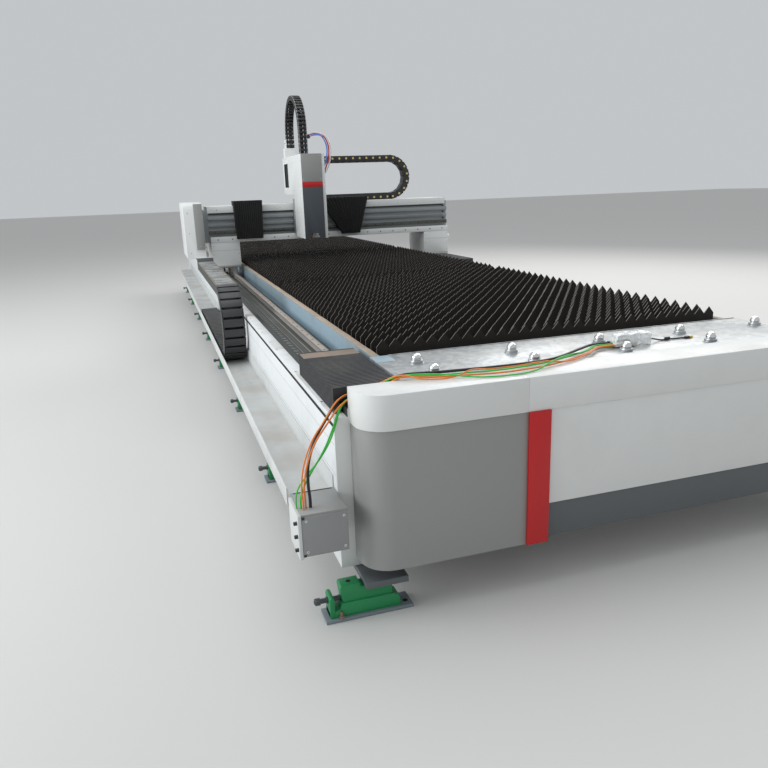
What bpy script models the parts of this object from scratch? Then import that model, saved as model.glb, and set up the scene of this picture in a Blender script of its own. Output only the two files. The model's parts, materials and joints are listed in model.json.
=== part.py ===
"""Fiber laser cutting machine: an open slat table, a moving gantry and a cutting head.

Metres, +Z up. Y runs along the bed and X across it, with the front end cover at -Y.
The origin lies on the floor under the middle of the whole machine's outer box.
"""
import math

import bmesh
import bpy
from mathutils import Matrix, Vector

# Gap that touching pieces keep, and the sheet that covers are folded from
SEAT = 0.0003
SHEET = 0.003

# Whole bed
LENGTH = 8.812
COVER_INSET = 0.049
COVER_DEPTH = 0.151
COVER_CORNER = 0.10
STRIPE_PROUD = 0.006

# Levelling feet under the cross members
STATIONS = 8
STATION_SPAN = 8.636
FOOT_LENGTH = 0.30
FOOT_WIDTH = 0.084
FOOT_PLATE = 0.012
FOOT_PROUD = 0.086
WEDGE_WIDTH = 0.07
WEDGE_TOP = 0.1085
SCREW_RADIUS = 0.012
SCREW_REACH = 0.03
PAD_LENGTH = 0.16
PAD_SHIFT = 0.025
PAD_REACH = 0.05
MEMBER_RISE = 0.072
MEMBER_HEIGHT = 0.118

# Bed side beams, with the drive rack as a strip on their top
BED_CLEAR_WIDTH = 1.70
BEAM_WIDTH = 0.24
BEAM_BOTTOM = 0.13
BEAM_TOP = 0.66
BEAM_WALL = 0.012
GROOVE_DEPTH = 0.008
GROOVE_HEIGHT = 0.012
GROOVE_DROP = 0.02
RACK_INSET = 0.045
RACK_WIDTH = 0.03
RACK_HEIGHT = 0.03
RAIL_INSET = 0.06
RAIL_WIDTH = 0.023
RAIL_HEIGHT = 0.03
RAIL_LENGTH = 8.4
RAIL_SINK = 0.001

# Slat table
TABLE_FRONT = -3.86
TABLE_GAP = 0.05
TABLE_RIM = 0.03
TABLE_TOP = 0.745
PALLETS = 3
PALLET_LENGTH = 2.2
PALLET_BASE = 0.612
PALLET_TUBE = 0.05
PALLET_TUBE_HEIGHT = 0.06
SLATS_PER_PALLET = 10
SLAT_THICKNESS = 0.004
SLAT_ROOT = 0.77
SLAT_TIP = 0.80
SLAT_BOTTOM = 0.66
TOOTH_COUNT = 10

# Plate with ball transfer units, between the cover and the table
PLATE_TOP = 0.752
PLATE_THICKNESS = 0.006
BALL_COLUMNS = 5
BALL_LEFT_INSET = 0.13
BALL_RIGHT_INSET = 0.05
BALL_FRONT_ROW = -4.19
BALL_ROW_GAP = 0.17
BALL_RADIUS = 0.019
BALL_RISE = 0.018
CUP_RADIUS = 0.028
CUP_HEIGHT = 0.012

# Front covers
CAP_TOP = 0.762
CAP_BOTTOM = 0.646
CAP_SEAM_X = -0.477
STRIPE_WIDTH = 0.081
PANEL_LAP = 0.02
CORNER_PANEL_BOTTOM = 0.171
FRONT_PANEL_BOTTOM = 0.309
SKIRT_BOTTOM = 0.183

# Cable tray along the left side, and its end box
TRAY_WIDTH = 0.16
TRAY_FLOOR = 0.366
TRAY_SHEET = 0.004
TRAY_LIP = 0.43
TRAY_BACK = 0.45
TRAY_FRONT = -4.20
TRAY_REAR = 3.90
END_BOX_LENGTH = 0.18
END_BOX_BOTTOM = 0.26
END_BOX_TOP = 0.41

# Long drag chain in the tray
CHAIN_CLEARANCE = 0.015
CHAIN_LINK_HEIGHT = 0.06
CHAIN_RADIUS = 0.20
CHAIN_PITCH = 0.10
CHAIN_BEND_Y = -1.95
CHAIN_FIXED_Y = -0.20
LINK_NOTCH = 0.006
BEND_LINKS = 4

# Gantry
GANTRY_FRONT = -0.06
GANTRY_DEPTH = 0.40
SADDLE_TOP = 0.765
SADDLE_THICKNESS = 0.02
BLOCK_LENGTH = 0.11
BLOCK_WIDTH = 0.05
RAIL_PLAY = 0.0004
FOOT_BOX_TOP = 0.9597
FOOT_BOX_WALL = 0.006
MOTOR_RADIUS = 0.045
MOTOR_HEIGHT = 0.13
STUB_RADIUS = 0.022
STUB_LENGTH = 0.05
PINION_RADIUS = 0.030
PINION_ADDENDUM = 0.002
PINION_TEETH = 16
PINION_HEIGHT = 0.02
PINION_SHAFT = 0.008
GIRDER_FRONT = -0.04
GIRDER_BACK = 0.30
GIRDER_TOP = 1.235
GIRDER_REACH = 0.01
GIRDER_WALL = 0.01
GIRDER_RAIL_DEPTH = 0.02
GIRDER_RAIL_WIDTH = 0.03
GIRDER_RAIL_LOW = 1.045
GIRDER_RAIL_HIGH = 1.165
GIRDER_RACK_Z = 1.105
LIP_TOP = 1.008
LIP_DEPTH = 0.022
TOP_COVER_RISE = 0.027
TOP_COVER_DEPTH = 0.056

# End column on the gantry's left
COLUMN_PROUD = 0.055
COLUMN_WIDTH = 0.15
COLUMN_BOTTOM = 0.86
COLUMN_TOP = 1.30
COLUMN_FRONT = -0.30
COLUMN_DEPTH = 0.60
COLUMN_ROUND = 0.05
COLUMN_RIB_WIDTH = 0.07
COLUMN_RIB_BOTTOM = 0.93
COLUMN_RIB_PROUD = 0.012

# Carriage and head housing
CARRIAGE_LEFT = -0.37
CARRIAGE_RIGHT = -0.155
CARRIAGE_FRONT = -0.115
CARRIAGE_THICKNESS = 0.025
CARRIAGE_TOP = 1.30
CARRIAGE_BLOCK = 0.066
HEAD_LEFT = -0.36
HEAD_RIGHT = -0.165
HEAD_FRONT = -0.48
HEAD_BACK = -0.116
HEAD_OVERHANG = 0.33
HEAD_BOTTOM = 0.98
HEAD_TOP = 1.65
HEAD_STEP = 1.335
HEAD_STRIP = 0.035
HEAD_PANEL_THICKNESS = 0.0057
HEAD_PANEL_LAP = 0.01
HEAD_PANEL_JOINT = 1.43
NOTCH_LEFT = -0.312
NOTCH_RIGHT = -0.236
NOTCH_TOP = 1.02
NOTCH_TAPER = 0.012
SLOT_FRONT = 0.10
SLOT_BACK = 0.25
SLOT_BOTTOM = 1.40
SLOT_TOP = 1.59

# Cutting head on the Z slide
Z_TRAVEL = 0.13
Z_RAIL_WIDTH = 0.02
Z_PLATE_THICKNESS = 0.02
Z_PLATE_BOTTOM = 1.12
Z_PLATE_TOP = 1.60
TORCH_X = -0.275
TORCH_Y = -0.30
TORCH_RADIUS = 0.038
TORCH_TOP = 1.55
TORCH_SIDES = 16
TORCH_BRACKET_WIDTH = 0.08
TORCH_BRACKET_HEIGHT = 0.30
TORCH_NECK = (1.10, 1.08, 1.03)
NOZZLE_TOP = 1.0
NOZZLE_TIP = 0.95
NOZZLE_RADIUS = 0.014

# Arched chain over the head
ARCH_X = -0.30
ARCH_WIDTH = 0.07
ARCH_HEIGHT = 0.04
ARCH_FRONT = -0.33
ARCH_BACK = 0.22
ARCH_SPRING = 1.84
ARCH_PITCH = 0.075
ARCH_BRACKET_TOP = 1.73

# Hoses from the arched chain to the side of the head
HOSE_RADIUS = 0.006
HOSE_GAP = 0.018
HOSE_BLOCK = 0.02
HOSE_BLOCK_TOP = (1.775, 1.805)
HOSE_BLOCK_LOW = (1.44, 1.49)

# Drag chain on top of the gantry
TOP_CHAIN_Y = 0.21
TOP_CHAIN_WIDTH = 0.10
TOP_CHAIN_LINK = 0.06
TOP_CHAIN_RADIUS = 0.167
TOP_CHAIN_BEND_X = 0.603
TOP_CHAIN_FIXED_X = -0.05
TOP_CHAIN_PITCH = 0.072

# Bellows: a fold's pitch and depth, and each stack's ends
FOLD_PITCH = 0.06
FOLD_DEPTH = 0.008
RAIL_STACK_INSET = 0.014
RAIL_STACK_PLAY = 0.002
RAIL_STACK_TOP = 0.747
RAIL_STACK_WALL = 0.016
RAIL_STACK_HEADROOM = 0.042
LEFT_STACK_FRONT = -4.20
LEFT_STACK_REAR = -3.65
RIGHT_STACK_FRONT = -0.65
HANGING_FRONT = -0.130
HANGING_BACK = 0.0
HANGING_WALL_Y = -0.068
HANGING_BOTTOM = 0.985
HANGING_TOP = 1.30
LEFT_HANGING_TOP = (-0.885, -0.640)
LEFT_HANGING_BOTTOM = (-0.872, -0.652)
RIGHT_HANGING_TOP = (-0.150, 0.300)
RIGHT_HANGING_BOTTOM = (0.060, 0.215)
HANGING_FOLDS = 4

# Loose wires from the end box, over the cap, to the wrapped connectors
WIRE_RADIUS = 0.003
CABLE_RADIUS = 0.005
WIRE_POINTS = 30
WRAP_X = (0.03, 0.20)
WRAP_Y = (-4.145, -4.075)
WRAP_HEIGHT = 0.03

# Values worked out from the sizes above
FRONT = -LENGTH / 2 + STRIPE_PROUD
REAR = LENGTH / 2
BEAM_INNER = BED_CLEAR_WIDTH / 2
BEAM_OUTER = BEAM_INNER + BEAM_WIDTH
COVER_HALF = BEAM_OUTER - COVER_INSET
FOOT_OUTER = BEAM_OUTER + FOOT_PROUD
RACK_OUTER = BEAM_OUTER - RACK_INSET
RAIL_X = BEAM_INNER + RAIL_INSET
TABLE_HALF_WIDTH = BEAM_INNER - TABLE_GAP
TRAY_OUTER = BEAM_OUTER + TRAY_WIDTH
CHAIN_OUTER = TRAY_OUTER - CHAIN_CLEARANCE
CHAIN_INNER = BEAM_OUTER + CHAIN_CLEARANCE
COLUMN_OUTER = TRAY_OUTER + COLUMN_PROUD
COLUMN_INNER = COLUMN_OUTER - COLUMN_WIDTH
GIRDER_LEFT = -BEAM_OUTER - GIRDER_REACH
GIRDER_RIGHT = BEAM_OUTER - GIRDER_REACH
RAIL_STACK_OUTER = BEAM_OUTER - RAIL_STACK_INSET
RAIL_STACK_INNER = BEAM_INNER + RAIL_STACK_PLAY
COVER_BACK = FRONT + COVER_DEPTH
COVER_INNER_REAR = REAR - COVER_DEPTH
MACHINE_X = (COLUMN_OUTER - FOOT_OUTER - SCREW_REACH) / 2
PALLET_RUN = PALLETS * PALLET_LENGTH
RAIL_TOP = BEAM_TOP + RAIL_HEIGHT
RACK_TOP = BEAM_TOP + RACK_HEIGHT
RACK_INNER = RACK_OUTER - RACK_WIDTH
PINION_TIP = PINION_RADIUS + PINION_ADDENDUM
PINION_X = RACK_INNER - PINION_TIP - SEAT
GANTRY_BACK = GANTRY_FRONT + GANTRY_DEPTH
GANTRY_MIDDLE = GANTRY_FRONT + GANTRY_DEPTH / 2
SADDLE_BOTTOM = SADDLE_TOP - SADDLE_THICKNESS
GIRDER_BOTTOM = FOOT_BOX_TOP + SEAT
TOP_COVER_TOP = GIRDER_TOP + TOP_COVER_RISE
TOP_COVER_SKIRT = TOP_COVER_TOP - TOP_COVER_DEPTH
TRAY_TOP = TRAY_FLOOR + TRAY_SHEET
CHAIN_LOW = TRAY_TOP + SEAT
CHAIN_MIDDLE = CHAIN_LOW + CHAIN_LINK_HEIGHT / 2 + CHAIN_RADIUS
CHAIN_HIGH = CHAIN_LOW + CHAIN_LINK_HEIGHT + 2 * CHAIN_RADIUS
CHAIN_MOVING_Y = COLUMN_FRONT - 0.015
TOP_CHAIN_LOW = TOP_COVER_TOP + SEAT
TOP_CHAIN_MIDDLE = TOP_CHAIN_LOW + TOP_CHAIN_LINK / 2 + TOP_CHAIN_RADIUS
TOP_CHAIN_HIGH = TOP_CHAIN_LOW + TOP_CHAIN_LINK + 2 * TOP_CHAIN_RADIUS
Z_PLATE_BACK = CARRIAGE_FRONT - 0.0245
PANEL_RIGHT = HEAD_RIGHT - HEAD_STRIP + HEAD_PANEL_LAP

WHITE = ("white_paint", (0.80, 0.81, 0.80), 0.35, 0.0)
LIGHT_GREY = ("light_grey_paint", (0.42, 0.43, 0.43), 0.4, 0.0)
BEAM_GREY = ("beam_grey_paint", (0.34, 0.36, 0.37), 0.45, 0.0)
DARK_GREY = ("dark_grey_paint", (0.10, 0.11, 0.12), 0.45, 0.0)
RED = ("red_paint", (0.62, 0.03, 0.02), 0.4, 0.0)
BLUE = ("light_blue_paint", (0.42, 0.52, 0.60), 0.45, 0.0)
GREEN = ("green_casting", (0.02, 0.25, 0.07), 0.5, 0.0)
BLACK = ("black_plastic", (0.02, 0.02, 0.022), 0.6, 0.0)
SLAT_STEEL = ("dark_slat_steel", (0.05, 0.045, 0.04), 0.6, 0.6)
GALVANISED = ("galvanised_plate", (0.50, 0.52, 0.53), 0.4, 0.8)
STEEL = ("bare_steel", (0.55, 0.55, 0.54), 0.3, 0.9)
COPPER = ("copper", (0.72, 0.38, 0.22), 0.3, 0.9)
WIRE_GREEN = ("green_wire", (0.08, 0.45, 0.08), 0.5, 0.0)
WIRE_ORANGE = ("orange_wire", (0.75, 0.25, 0.05), 0.5, 0.0)
WRAP = ("clear_wrap", (0.75, 0.76, 0.76), 0.2, 0.0)


def clear_scene():
    for obj in list(bpy.data.objects):
        bpy.data.objects.remove(obj)


def collection(name):
    made = bpy.data.collections.new(name)
    bpy.context.scene.collection.children.link(made)
    return made


def paint(obj, finish):
    """Give an object one plain material, made once for each finish."""
    name, colour, roughness, metallic = finish
    material = bpy.data.materials.get(name)
    if material is None:
        material = bpy.data.materials.new(name)
        material.use_nodes = True
        shader = material.node_tree.nodes["Principled BSDF"]
        shader.inputs["Base Color"].default_value = (*colour, 1.0)
        shader.inputs["Roughness"].default_value = roughness
        shader.inputs["Metallic"].default_value = metallic
    obj.data.materials.clear()
    obj.data.materials.append(material)


def add_object(name, mesh, finish, carrier, location=(0.0, 0.0, 0.0)):
    """Link a mesh as a part that its carrier empty holds, at a place in the machine."""
    obj = bpy.data.objects.new(name, mesh)
    PARTS.objects.link(obj)
    obj.parent = carrier
    obj.location = Vector(location) - CARRIER_ORIGIN[carrier.name]
    paint(obj, finish)
    return obj


def add_carrier(name, parent, origin):
    """An empty that stands for one moving body, at its origin in the machine."""
    empty = bpy.data.objects.new(name, None)
    PARTS.objects.link(empty)
    CARRIER_ORIGIN[name] = Vector(origin)
    empty.parent = parent
    base = CARRIER_ORIGIN[parent.name] if parent else Vector()
    empty.location = Vector(origin) - base
    return empty


def mesh_from(bm, name):
    bmesh.ops.recalc_face_normals(bm, faces=bm.faces)
    mesh = bpy.data.meshes.new(name)
    bm.to_mesh(mesh)
    bm.free()
    return mesh


def evaluated_mesh(obj, name):
    """The mesh that an object shows with its modifiers, welded at its seams."""
    depsgraph = bpy.context.evaluated_depsgraph_get()
    mesh = bpy.data.meshes.new_from_object(obj.evaluated_get(depsgraph))
    mesh.name = name
    bm = bmesh.new()
    bm.from_mesh(mesh)
    bmesh.ops.remove_doubles(bm, verts=bm.verts, dist=0.00001)
    bmesh.ops.recalc_face_normals(bm, faces=bm.faces)
    bm.to_mesh(mesh)
    bm.free()
    return mesh


def block_mesh(name, x, y, z):
    """A box between two values on each axis, about its own centre."""
    size = Matrix.Diagonal((x[1] - x[0], y[1] - y[0], z[1] - z[0], 1.0))
    bm = bmesh.new()
    bmesh.ops.create_cube(bm, size=1.0, matrix=size)
    return mesh_from(bm, name)


def block(name, x, y, z, finish, carrier):
    middle = (sum(x) / 2, sum(y) / 2, sum(z) / 2)
    return add_object(name, block_mesh(name, x, y, z), finish, carrier, middle)


TURNS = {
    "X": Matrix(((0, 0, 1, 0), (1, 0, 0, 0), (0, 1, 0, 0), (0, 0, 0, 1))),
    "Y": Matrix(((1, 0, 0, 0), (0, 0, -1, 0), (0, 1, 0, 0), (0, 0, 0, 1))),
    "Z": Matrix.Identity(4),
}


def profile(name, outlines, axis, start, end, finish, carrier):
    """Extrude closed outlines along an axis. A second outline is a hole in the first."""
    curve = bpy.data.curves.new(name, "CURVE")
    curve.dimensions = "2D"
    curve.fill_mode = "BOTH"
    curve.extrude = (end - start) / 2
    for outline in outlines:
        spline = curve.splines.new("POLY")
        spline.points.add(len(outline) - 1)
        for point, (across, up) in zip(spline.points, outline):
            point.co = (across, up, 0.0, 1.0)
        spline.use_cyclic_u = True
    drawn = bpy.data.objects.new(name + "_outline", curve)
    PARTS.objects.link(drawn)
    mesh = evaluated_mesh(drawn, name)
    bpy.data.objects.remove(drawn)
    mesh.transform(TURNS[axis])
    place = {"X": (1, 0, 0), "Y": (0, 1, 0), "Z": (0, 0, 1)}[axis]
    middle = Vector(place) * (start + end) / 2
    return add_object(name, mesh, finish, carrier, middle)


def mirrored(outline):
    """The same outline on the other side of the machine's middle plane."""
    return [(-across, up) for across, up in reversed(outline)]


def fuse(base, others):
    """Join pieces of one welded or cast part into a single closed body."""
    welded = bpy.data.collections.new(base.name + "_pieces")
    bpy.context.scene.collection.children.link(welded)
    for other in others:
        PARTS.objects.unlink(other)
        welded.objects.link(other)
    modifier = base.modifiers.new("weld", "BOOLEAN")
    modifier.operation = "UNION"
    modifier.solver = "EXACT"
    modifier.operand_type = "COLLECTION"
    modifier.collection = welded
    mesh = evaluated_mesh(base, base.name)
    base.modifiers.clear()
    base.data = mesh
    for other in others:
        bpy.data.objects.remove(other)
    bpy.data.collections.remove(welded)
    return base


def cut(obj, x, y, z):
    """Cut a box-shaped opening, given in the machine's coordinates."""
    cutter = bpy.data.objects.new(obj.name + "_cutter", block_mesh("cutter", x, y, z))
    CUTTERS.objects.link(cutter)
    cutter.parent = obj.parent
    middle = Vector((sum(x) / 2, sum(y) / 2, sum(z) / 2))
    cutter.location = middle - CARRIER_ORIGIN[obj.parent.name]
    cutter.hide_render = True
    cutter.display_type = "WIRE"
    modifier = obj.modifiers.new("opening", "BOOLEAN")
    modifier.operation = "DIFFERENCE"
    modifier.solver = "EXACT"
    modifier.object = cutter


def sheet(name, bm, thickness, finish, carrier):
    """Turn an open surface into folded sheet metal, with the thickness inwards."""
    mesh = bpy.data.meshes.new(name)
    bm.to_mesh(mesh)
    bm.free()
    obj = add_object(name, mesh, finish, carrier)
    solidify = obj.modifiers.new("sheet", "SOLIDIFY")
    solidify.thickness = thickness
    solidify.offset = -1.0
    solidify.use_even_offset = True
    return obj


def open_box(name, x, y, z, open_side, thickness, finish, carrier):
    """A sheet box without one side, which open_side names by its outward normal."""
    bm = bmesh.new()
    size = Matrix.Diagonal((x[1] - x[0], y[1] - y[0], z[1] - z[0], 1.0))
    middle = Matrix.Translation((sum(x) / 2, sum(y) / 2, sum(z) / 2))
    bmesh.ops.create_cube(bm, size=1.0, matrix=middle @ size)
    bm.normal_update()
    gone = [face for face in bm.faces if face.normal.dot(Vector(open_side)) > 0.9]
    bmesh.ops.delete(bm, geom=gone, context="FACES")
    bmesh.ops.translate(bm, verts=bm.verts, vec=-CARRIER_ORIGIN[carrier.name])
    obj = sheet(name, bm, thickness, finish, carrier)
    obj.location = (0.0, 0.0, 0.0)
    return obj


def corner(centre, radius, start_degrees, end_degrees, steps=6):
    """Points along a rounded corner, both ends included."""
    points = []
    for step in range(steps + 1):
        angle = math.radians(start_degrees + (end_degrees - start_degrees) * step / steps)
        points.append((centre[0] + radius * math.cos(angle), centre[1] + radius * math.sin(angle)))
    return points


def wrapped_sheet(name, path, low, high, closing, finish, carrier):
    """Sheet that follows a path seen from above, with a top face if closing is given."""
    bm = bmesh.new()
    lower = [bm.verts.new((x, y, low)) for x, y in path]
    upper = [bm.verts.new((x, y, high)) for x, y in path]
    for index in range(len(path) - 1):
        bm.faces.new((lower[index], lower[index + 1], upper[index + 1], upper[index]))
    if closing is not None:
        bm.faces.new(upper + [bm.verts.new((x, y, high)) for x, y in closing])
    return sheet(name, bm, SHEET, finish, carrier)


def turned(name, outline, steps, finish, carrier, location):
    """Revolve a half profile, listed from the top down, about the Z axis."""
    mesh = bpy.data.meshes.new(name)
    verts = [(radius, 0.0, height) for radius, height in outline]
    edges = [(index, index + 1) for index in range(len(verts) - 1)]
    mesh.from_pydata(verts, edges, [])
    obj = add_object(name, mesh, finish, carrier, location)
    screw = obj.modifiers.new("turn", "SCREW")
    screw.steps = steps
    screw.render_steps = steps
    screw.use_merge_vertices = True
    screw.merge_threshold = 0.00001
    obj.data = evaluated_mesh(obj, name)
    obj.modifiers.clear()
    paint(obj, finish)
    for polygon in obj.data.polygons:
        polygon.use_smooth = True
    obj.data.set_sharp_from_angle(angle=math.radians(35))
    return obj


def rod(name, start, end, radius, sides, finish, carrier):
    """A round bar between two points."""
    start, end = Vector(start), Vector(end)
    bm = bmesh.new()
    turn = (end - start).to_track_quat("Z", "Y").to_matrix().to_4x4()
    bmesh.ops.create_cone(bm, cap_ends=True, segments=sides, radius1=radius, radius2=radius,
                          depth=(end - start).length, matrix=turn)
    return add_object(name, mesh_from(bm, name), finish, carrier, (start + end) / 2)


def link_outline(length, pitch, half_height, place):
    """Outline of a row of chain links. place turns a distance and a height into a point."""
    count = max(1, round(length / pitch))
    step = length / count
    below, above = [], []
    for link in range(count):
        first, last = link * step, (link + 1) * step
        for side, height in ((below, -half_height), (above, half_height)):
            dip = height * (1 - 2 * LINK_NOTCH / half_height)
            side.append(place(first + LINK_NOTCH * (link > 0), height))
            side.append(place(last - LINK_NOTCH * (link < count - 1), height))
            if link < count - 1:
                side.append(place(last, dip))
    return below + above[::-1]


def straight_links(name, axis, start, end, middle, link_height, pitch, width, finish, carrier):
    """A straight run of drag chain from start to end, with its links' joints notched."""
    outline = link_outline(end - start, pitch, link_height / 2,
                           lambda along, up: (start + along, middle + up))
    return profile(name, [outline], axis, width[0], width[1], finish, carrier)


def bend_links(name, axis, centre, radius, link_height, angles, width, finish, carrier):
    """A quarter of a drag chain's bend, between two angles in degrees."""
    first, last = (math.radians(angle) for angle in angles)
    length = abs(last - first) * radius

    def place(along, out):
        angle = first + (last - first) * along / length
        reach = radius + out
        return centre[0] + reach * math.cos(angle), centre[1] + reach * math.sin(angle)

    outline = link_outline(length, length / BEND_LINKS, link_height / 2, place)
    return profile(name, [outline], axis, width[0], width[1], finish, carrier)


def bellows(name, section, stations, finish, carrier):
    """Pleated sleeve. section lists points and outward folds, stations place each ring."""
    bm = bmesh.new()
    rings = []
    for index, place in enumerate(stations):
        swell = FOLD_DEPTH * (index % 2)
        ring = []
        for (across, up), (out_across, out_up) in section:
            ring.append(bm.verts.new(place(across + out_across * swell, up + out_up * swell)))
        rings.append(ring)
    for near, far in zip(rings, rings[1:]):
        for index in range(len(near)):
            after = (index + 1) % len(near)
            bm.faces.new((near[index], near[after], far[after], far[index]))
    bm.faces.new(rings[0])
    bm.faces.new(rings[-1])
    bm.normal_update()
    bmesh.ops.triangulate(bm, faces=bm.faces[:])
    bmesh.ops.translate(bm, verts=bm.verts, vec=-CARRIER_ORIGIN[carrier.name])
    obj = add_object(name, mesh_from(bm, name), finish, carrier)
    obj.location = (0.0, 0.0, 0.0)
    return obj


def smooth_route(route, count):
    """Read points at even steps from a smooth curve through a route's own points."""
    ends = [route[0]] + list(route) + [route[-1]]
    points = [Vector(point) for point in ends]
    spans = len(route) - 1
    found = []
    for step in range(count):
        where = step * spans / (count - 1)
        span = min(int(where), spans - 1)
        t = where - span
        before, start, end, after = points[span:span + 4]
        found.append(0.5 * (2 * start + (end - before) * t
                            + (2 * before - 5 * start + 4 * end - after) * t ** 2
                            + (3 * start - before - 3 * end + after) * t ** 3))
    return found


def cord(name, route, radius, finish, carrier, count=None):
    """A free wire along its chosen route."""
    curve = bpy.data.curves.new(name, "CURVE")
    curve.dimensions = "3D"
    curve.bevel_depth = radius
    curve.bevel_resolution = 2
    curve.use_fill_caps = True
    spline = curve.splines.new("POLY")
    points = smooth_route(route, count or WIRE_POINTS)
    spline.points.add(len(points) - 1)
    for point, where in zip(spline.points, points):
        point.co = (*(where - CARRIER_ORIGIN[carrier.name]), 1.0)
    obj = bpy.data.objects.new(name, curve)
    PARTS.objects.link(obj)
    obj.parent = carrier
    paint(obj, finish)
    return obj


def station_positions():
    """Where the levelling feet stand along the bed."""
    step = STATION_SPAN / (STATIONS - 1)
    return [-STATION_SPAN / 2 + step * index for index in range(STATIONS)]


def levelling_foot(name, side, y, carrier):
    """Wedge mount on a base plate, with its adjusting screw at the outer end."""
    outer = FOOT_OUTER
    plate_x = sorted((side * outer, side * (outer - FOOT_LENGTH)))
    plate = block(name + "_plate", plate_x, (y - FOOT_WIDTH / 2, y + FOOT_WIDTH / 2),
                  (0.0, FOOT_PLATE), GREEN, carrier)
    low = FOOT_PLATE - 0.002
    shape = [
        (outer - 0.016, low), (outer - 0.016, 0.072), (outer - 0.045, WEDGE_TOP + 0.012),
        (COVER_HALF + 0.012, WEDGE_TOP + 0.012), (COVER_HALF + 0.004, WEDGE_TOP),
        (outer - 0.235, WEDGE_TOP), (outer - 0.26, 0.05), (outer - 0.26, low),
    ]
    if side < 0:
        shape = mirrored(shape)
    wedge = profile(name + "_wedge", [shape], "Y", y - WEDGE_WIDTH / 2, y + WEDGE_WIDTH / 2,
                    GREEN, carrier)
    screw = rod(name + "_screw", (side * (outer - 0.03), y, 0.055),
                (side * (outer + SCREW_REACH), y, 0.055), SCREW_RADIUS, 6, GREEN, carrier)
    return [plate, wedge, screw]


def bed_cross_members(carrier):
    """Cross members, raised between their end pads, and the levelling feet that carry them."""
    pad_bottom = WEDGE_TOP - 0.0015
    pad_top = BEAM_BOTTOM - SEAT
    inner = BEAM_INNER - SEAT
    bottom = pad_top + MEMBER_RISE
    top = bottom + MEMBER_HEIGHT
    reach = inner - PAD_REACH
    half = [
        (reach, bottom), (reach, pad_bottom), (COVER_HALF, pad_bottom), (COVER_HALF, pad_top),
        (inner, pad_top), (inner, top),
    ]
    shape = half + [(-x, z) for x, z in half[::-1]]
    for number, y in enumerate(station_positions(), 1):
        middle = y - math.copysign(PAD_SHIFT, y)
        member = profile("bed_cross_member_%d" % number, [shape], "Y",
                         middle - PAD_LENGTH / 2, middle + PAD_LENGTH / 2, LIGHT_GREY, carrier)
        feet = []
        for side in (-1, 1):
            feet += levelling_foot("foot", side, y, carrier)
        fuse(member, feet)


def bed_beams(carrier):
    """Hollow side beams, with the groove on their outer side and the rack strip on top."""
    groove_top = BEAM_TOP - GROOVE_DROP
    outside = [
        (BEAM_INNER, BEAM_BOTTOM), (BEAM_OUTER, BEAM_BOTTOM),
        (BEAM_OUTER, groove_top - GROOVE_HEIGHT), (BEAM_OUTER - GROOVE_DEPTH, groove_top - GROOVE_HEIGHT),
        (BEAM_OUTER - GROOVE_DEPTH, groove_top), (BEAM_OUTER, groove_top), (BEAM_OUTER, BEAM_TOP),
        (RACK_OUTER, BEAM_TOP), (RACK_OUTER, RACK_TOP), (RACK_INNER, RACK_TOP),
        (RACK_INNER, BEAM_TOP), (BEAM_INNER, BEAM_TOP),
    ]
    wall = BEAM_WALL
    roof = groove_top - GROOVE_HEIGHT - wall
    inside = [
        (BEAM_INNER + wall, BEAM_BOTTOM + wall), (BEAM_OUTER - wall, BEAM_BOTTOM + wall),
        (BEAM_OUTER - wall, roof), (BEAM_INNER + wall, roof),
    ]
    start, end = COVER_BACK + SEAT, COVER_INNER_REAR - SEAT
    right = profile("bed_beam_right", [outside, inside], "Y", start, end, WHITE, carrier)
    left = profile("bed_beam_left", [mirrored(outside), mirrored(inside)], "Y", start, end, WHITE, carrier)
    for beam, side in ((right, 1), (left, -1)):
        rail = profile("rail", [rail_outline(side * RAIL_X)], "Y", -RAIL_LENGTH / 2, RAIL_LENGTH / 2,
                       STEEL, carrier)
        fuse(beam, [rail])


def rail_outline(x):
    """Section of a linear guide rail with its waist."""
    half, low = RAIL_WIDTH / 2, BEAM_TOP - RAIL_SINK
    return [
        (x - half, low), (x + half, low), (x + half, low + 0.010), (x + half * 0.7, low + 0.015),
        (x + half * 0.7, low + 0.018), (x + half, low + 0.022), (x + half, RAIL_TOP),
        (x - half, RAIL_TOP), (x - half, low + 0.022), (x - half * 0.7, low + 0.018),
        (x - half * 0.7, low + 0.015), (x - half, low + 0.010),
    ]


def table_sides(carrier):
    """Light-blue table rims with the ledge that carries the pallets."""
    inner, outer = TABLE_HALF_WIDTH, TABLE_HALF_WIDTH + TABLE_RIM
    ledge = PALLET_BASE - 0.012
    shape = [
        (inner, TABLE_TOP), (inner, PALLET_BASE), (inner - 0.04, PALLET_BASE), (inner - 0.04, ledge),
        (BEAM_INNER - SEAT, ledge), (BEAM_INNER - SEAT, ledge + 0.04), (outer, ledge + 0.04),
        (outer, TABLE_TOP),
    ]
    end = TABLE_FRONT + PALLET_RUN
    profile("table_side_right", [shape], "Y", TABLE_FRONT, end, BLUE, carrier)
    profile("table_side_left", [mirrored(shape)], "Y", TABLE_FRONT, end, BLUE, carrier)


def slat_outline(half_width):
    """A support slat: a strip with pointed teeth along its upper edge."""
    points = [(-half_width, SLAT_BOTTOM), (half_width, SLAT_BOTTOM)]
    pitch = 2 * half_width / TOOTH_COUNT
    for tooth in range(TOOTH_COUNT):
        right = half_width - tooth * pitch
        points.append((right, SLAT_ROOT))
        points.append((right - pitch / 2, SLAT_TIP))
    points.append((-half_width, SLAT_ROOT))
    return points


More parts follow.
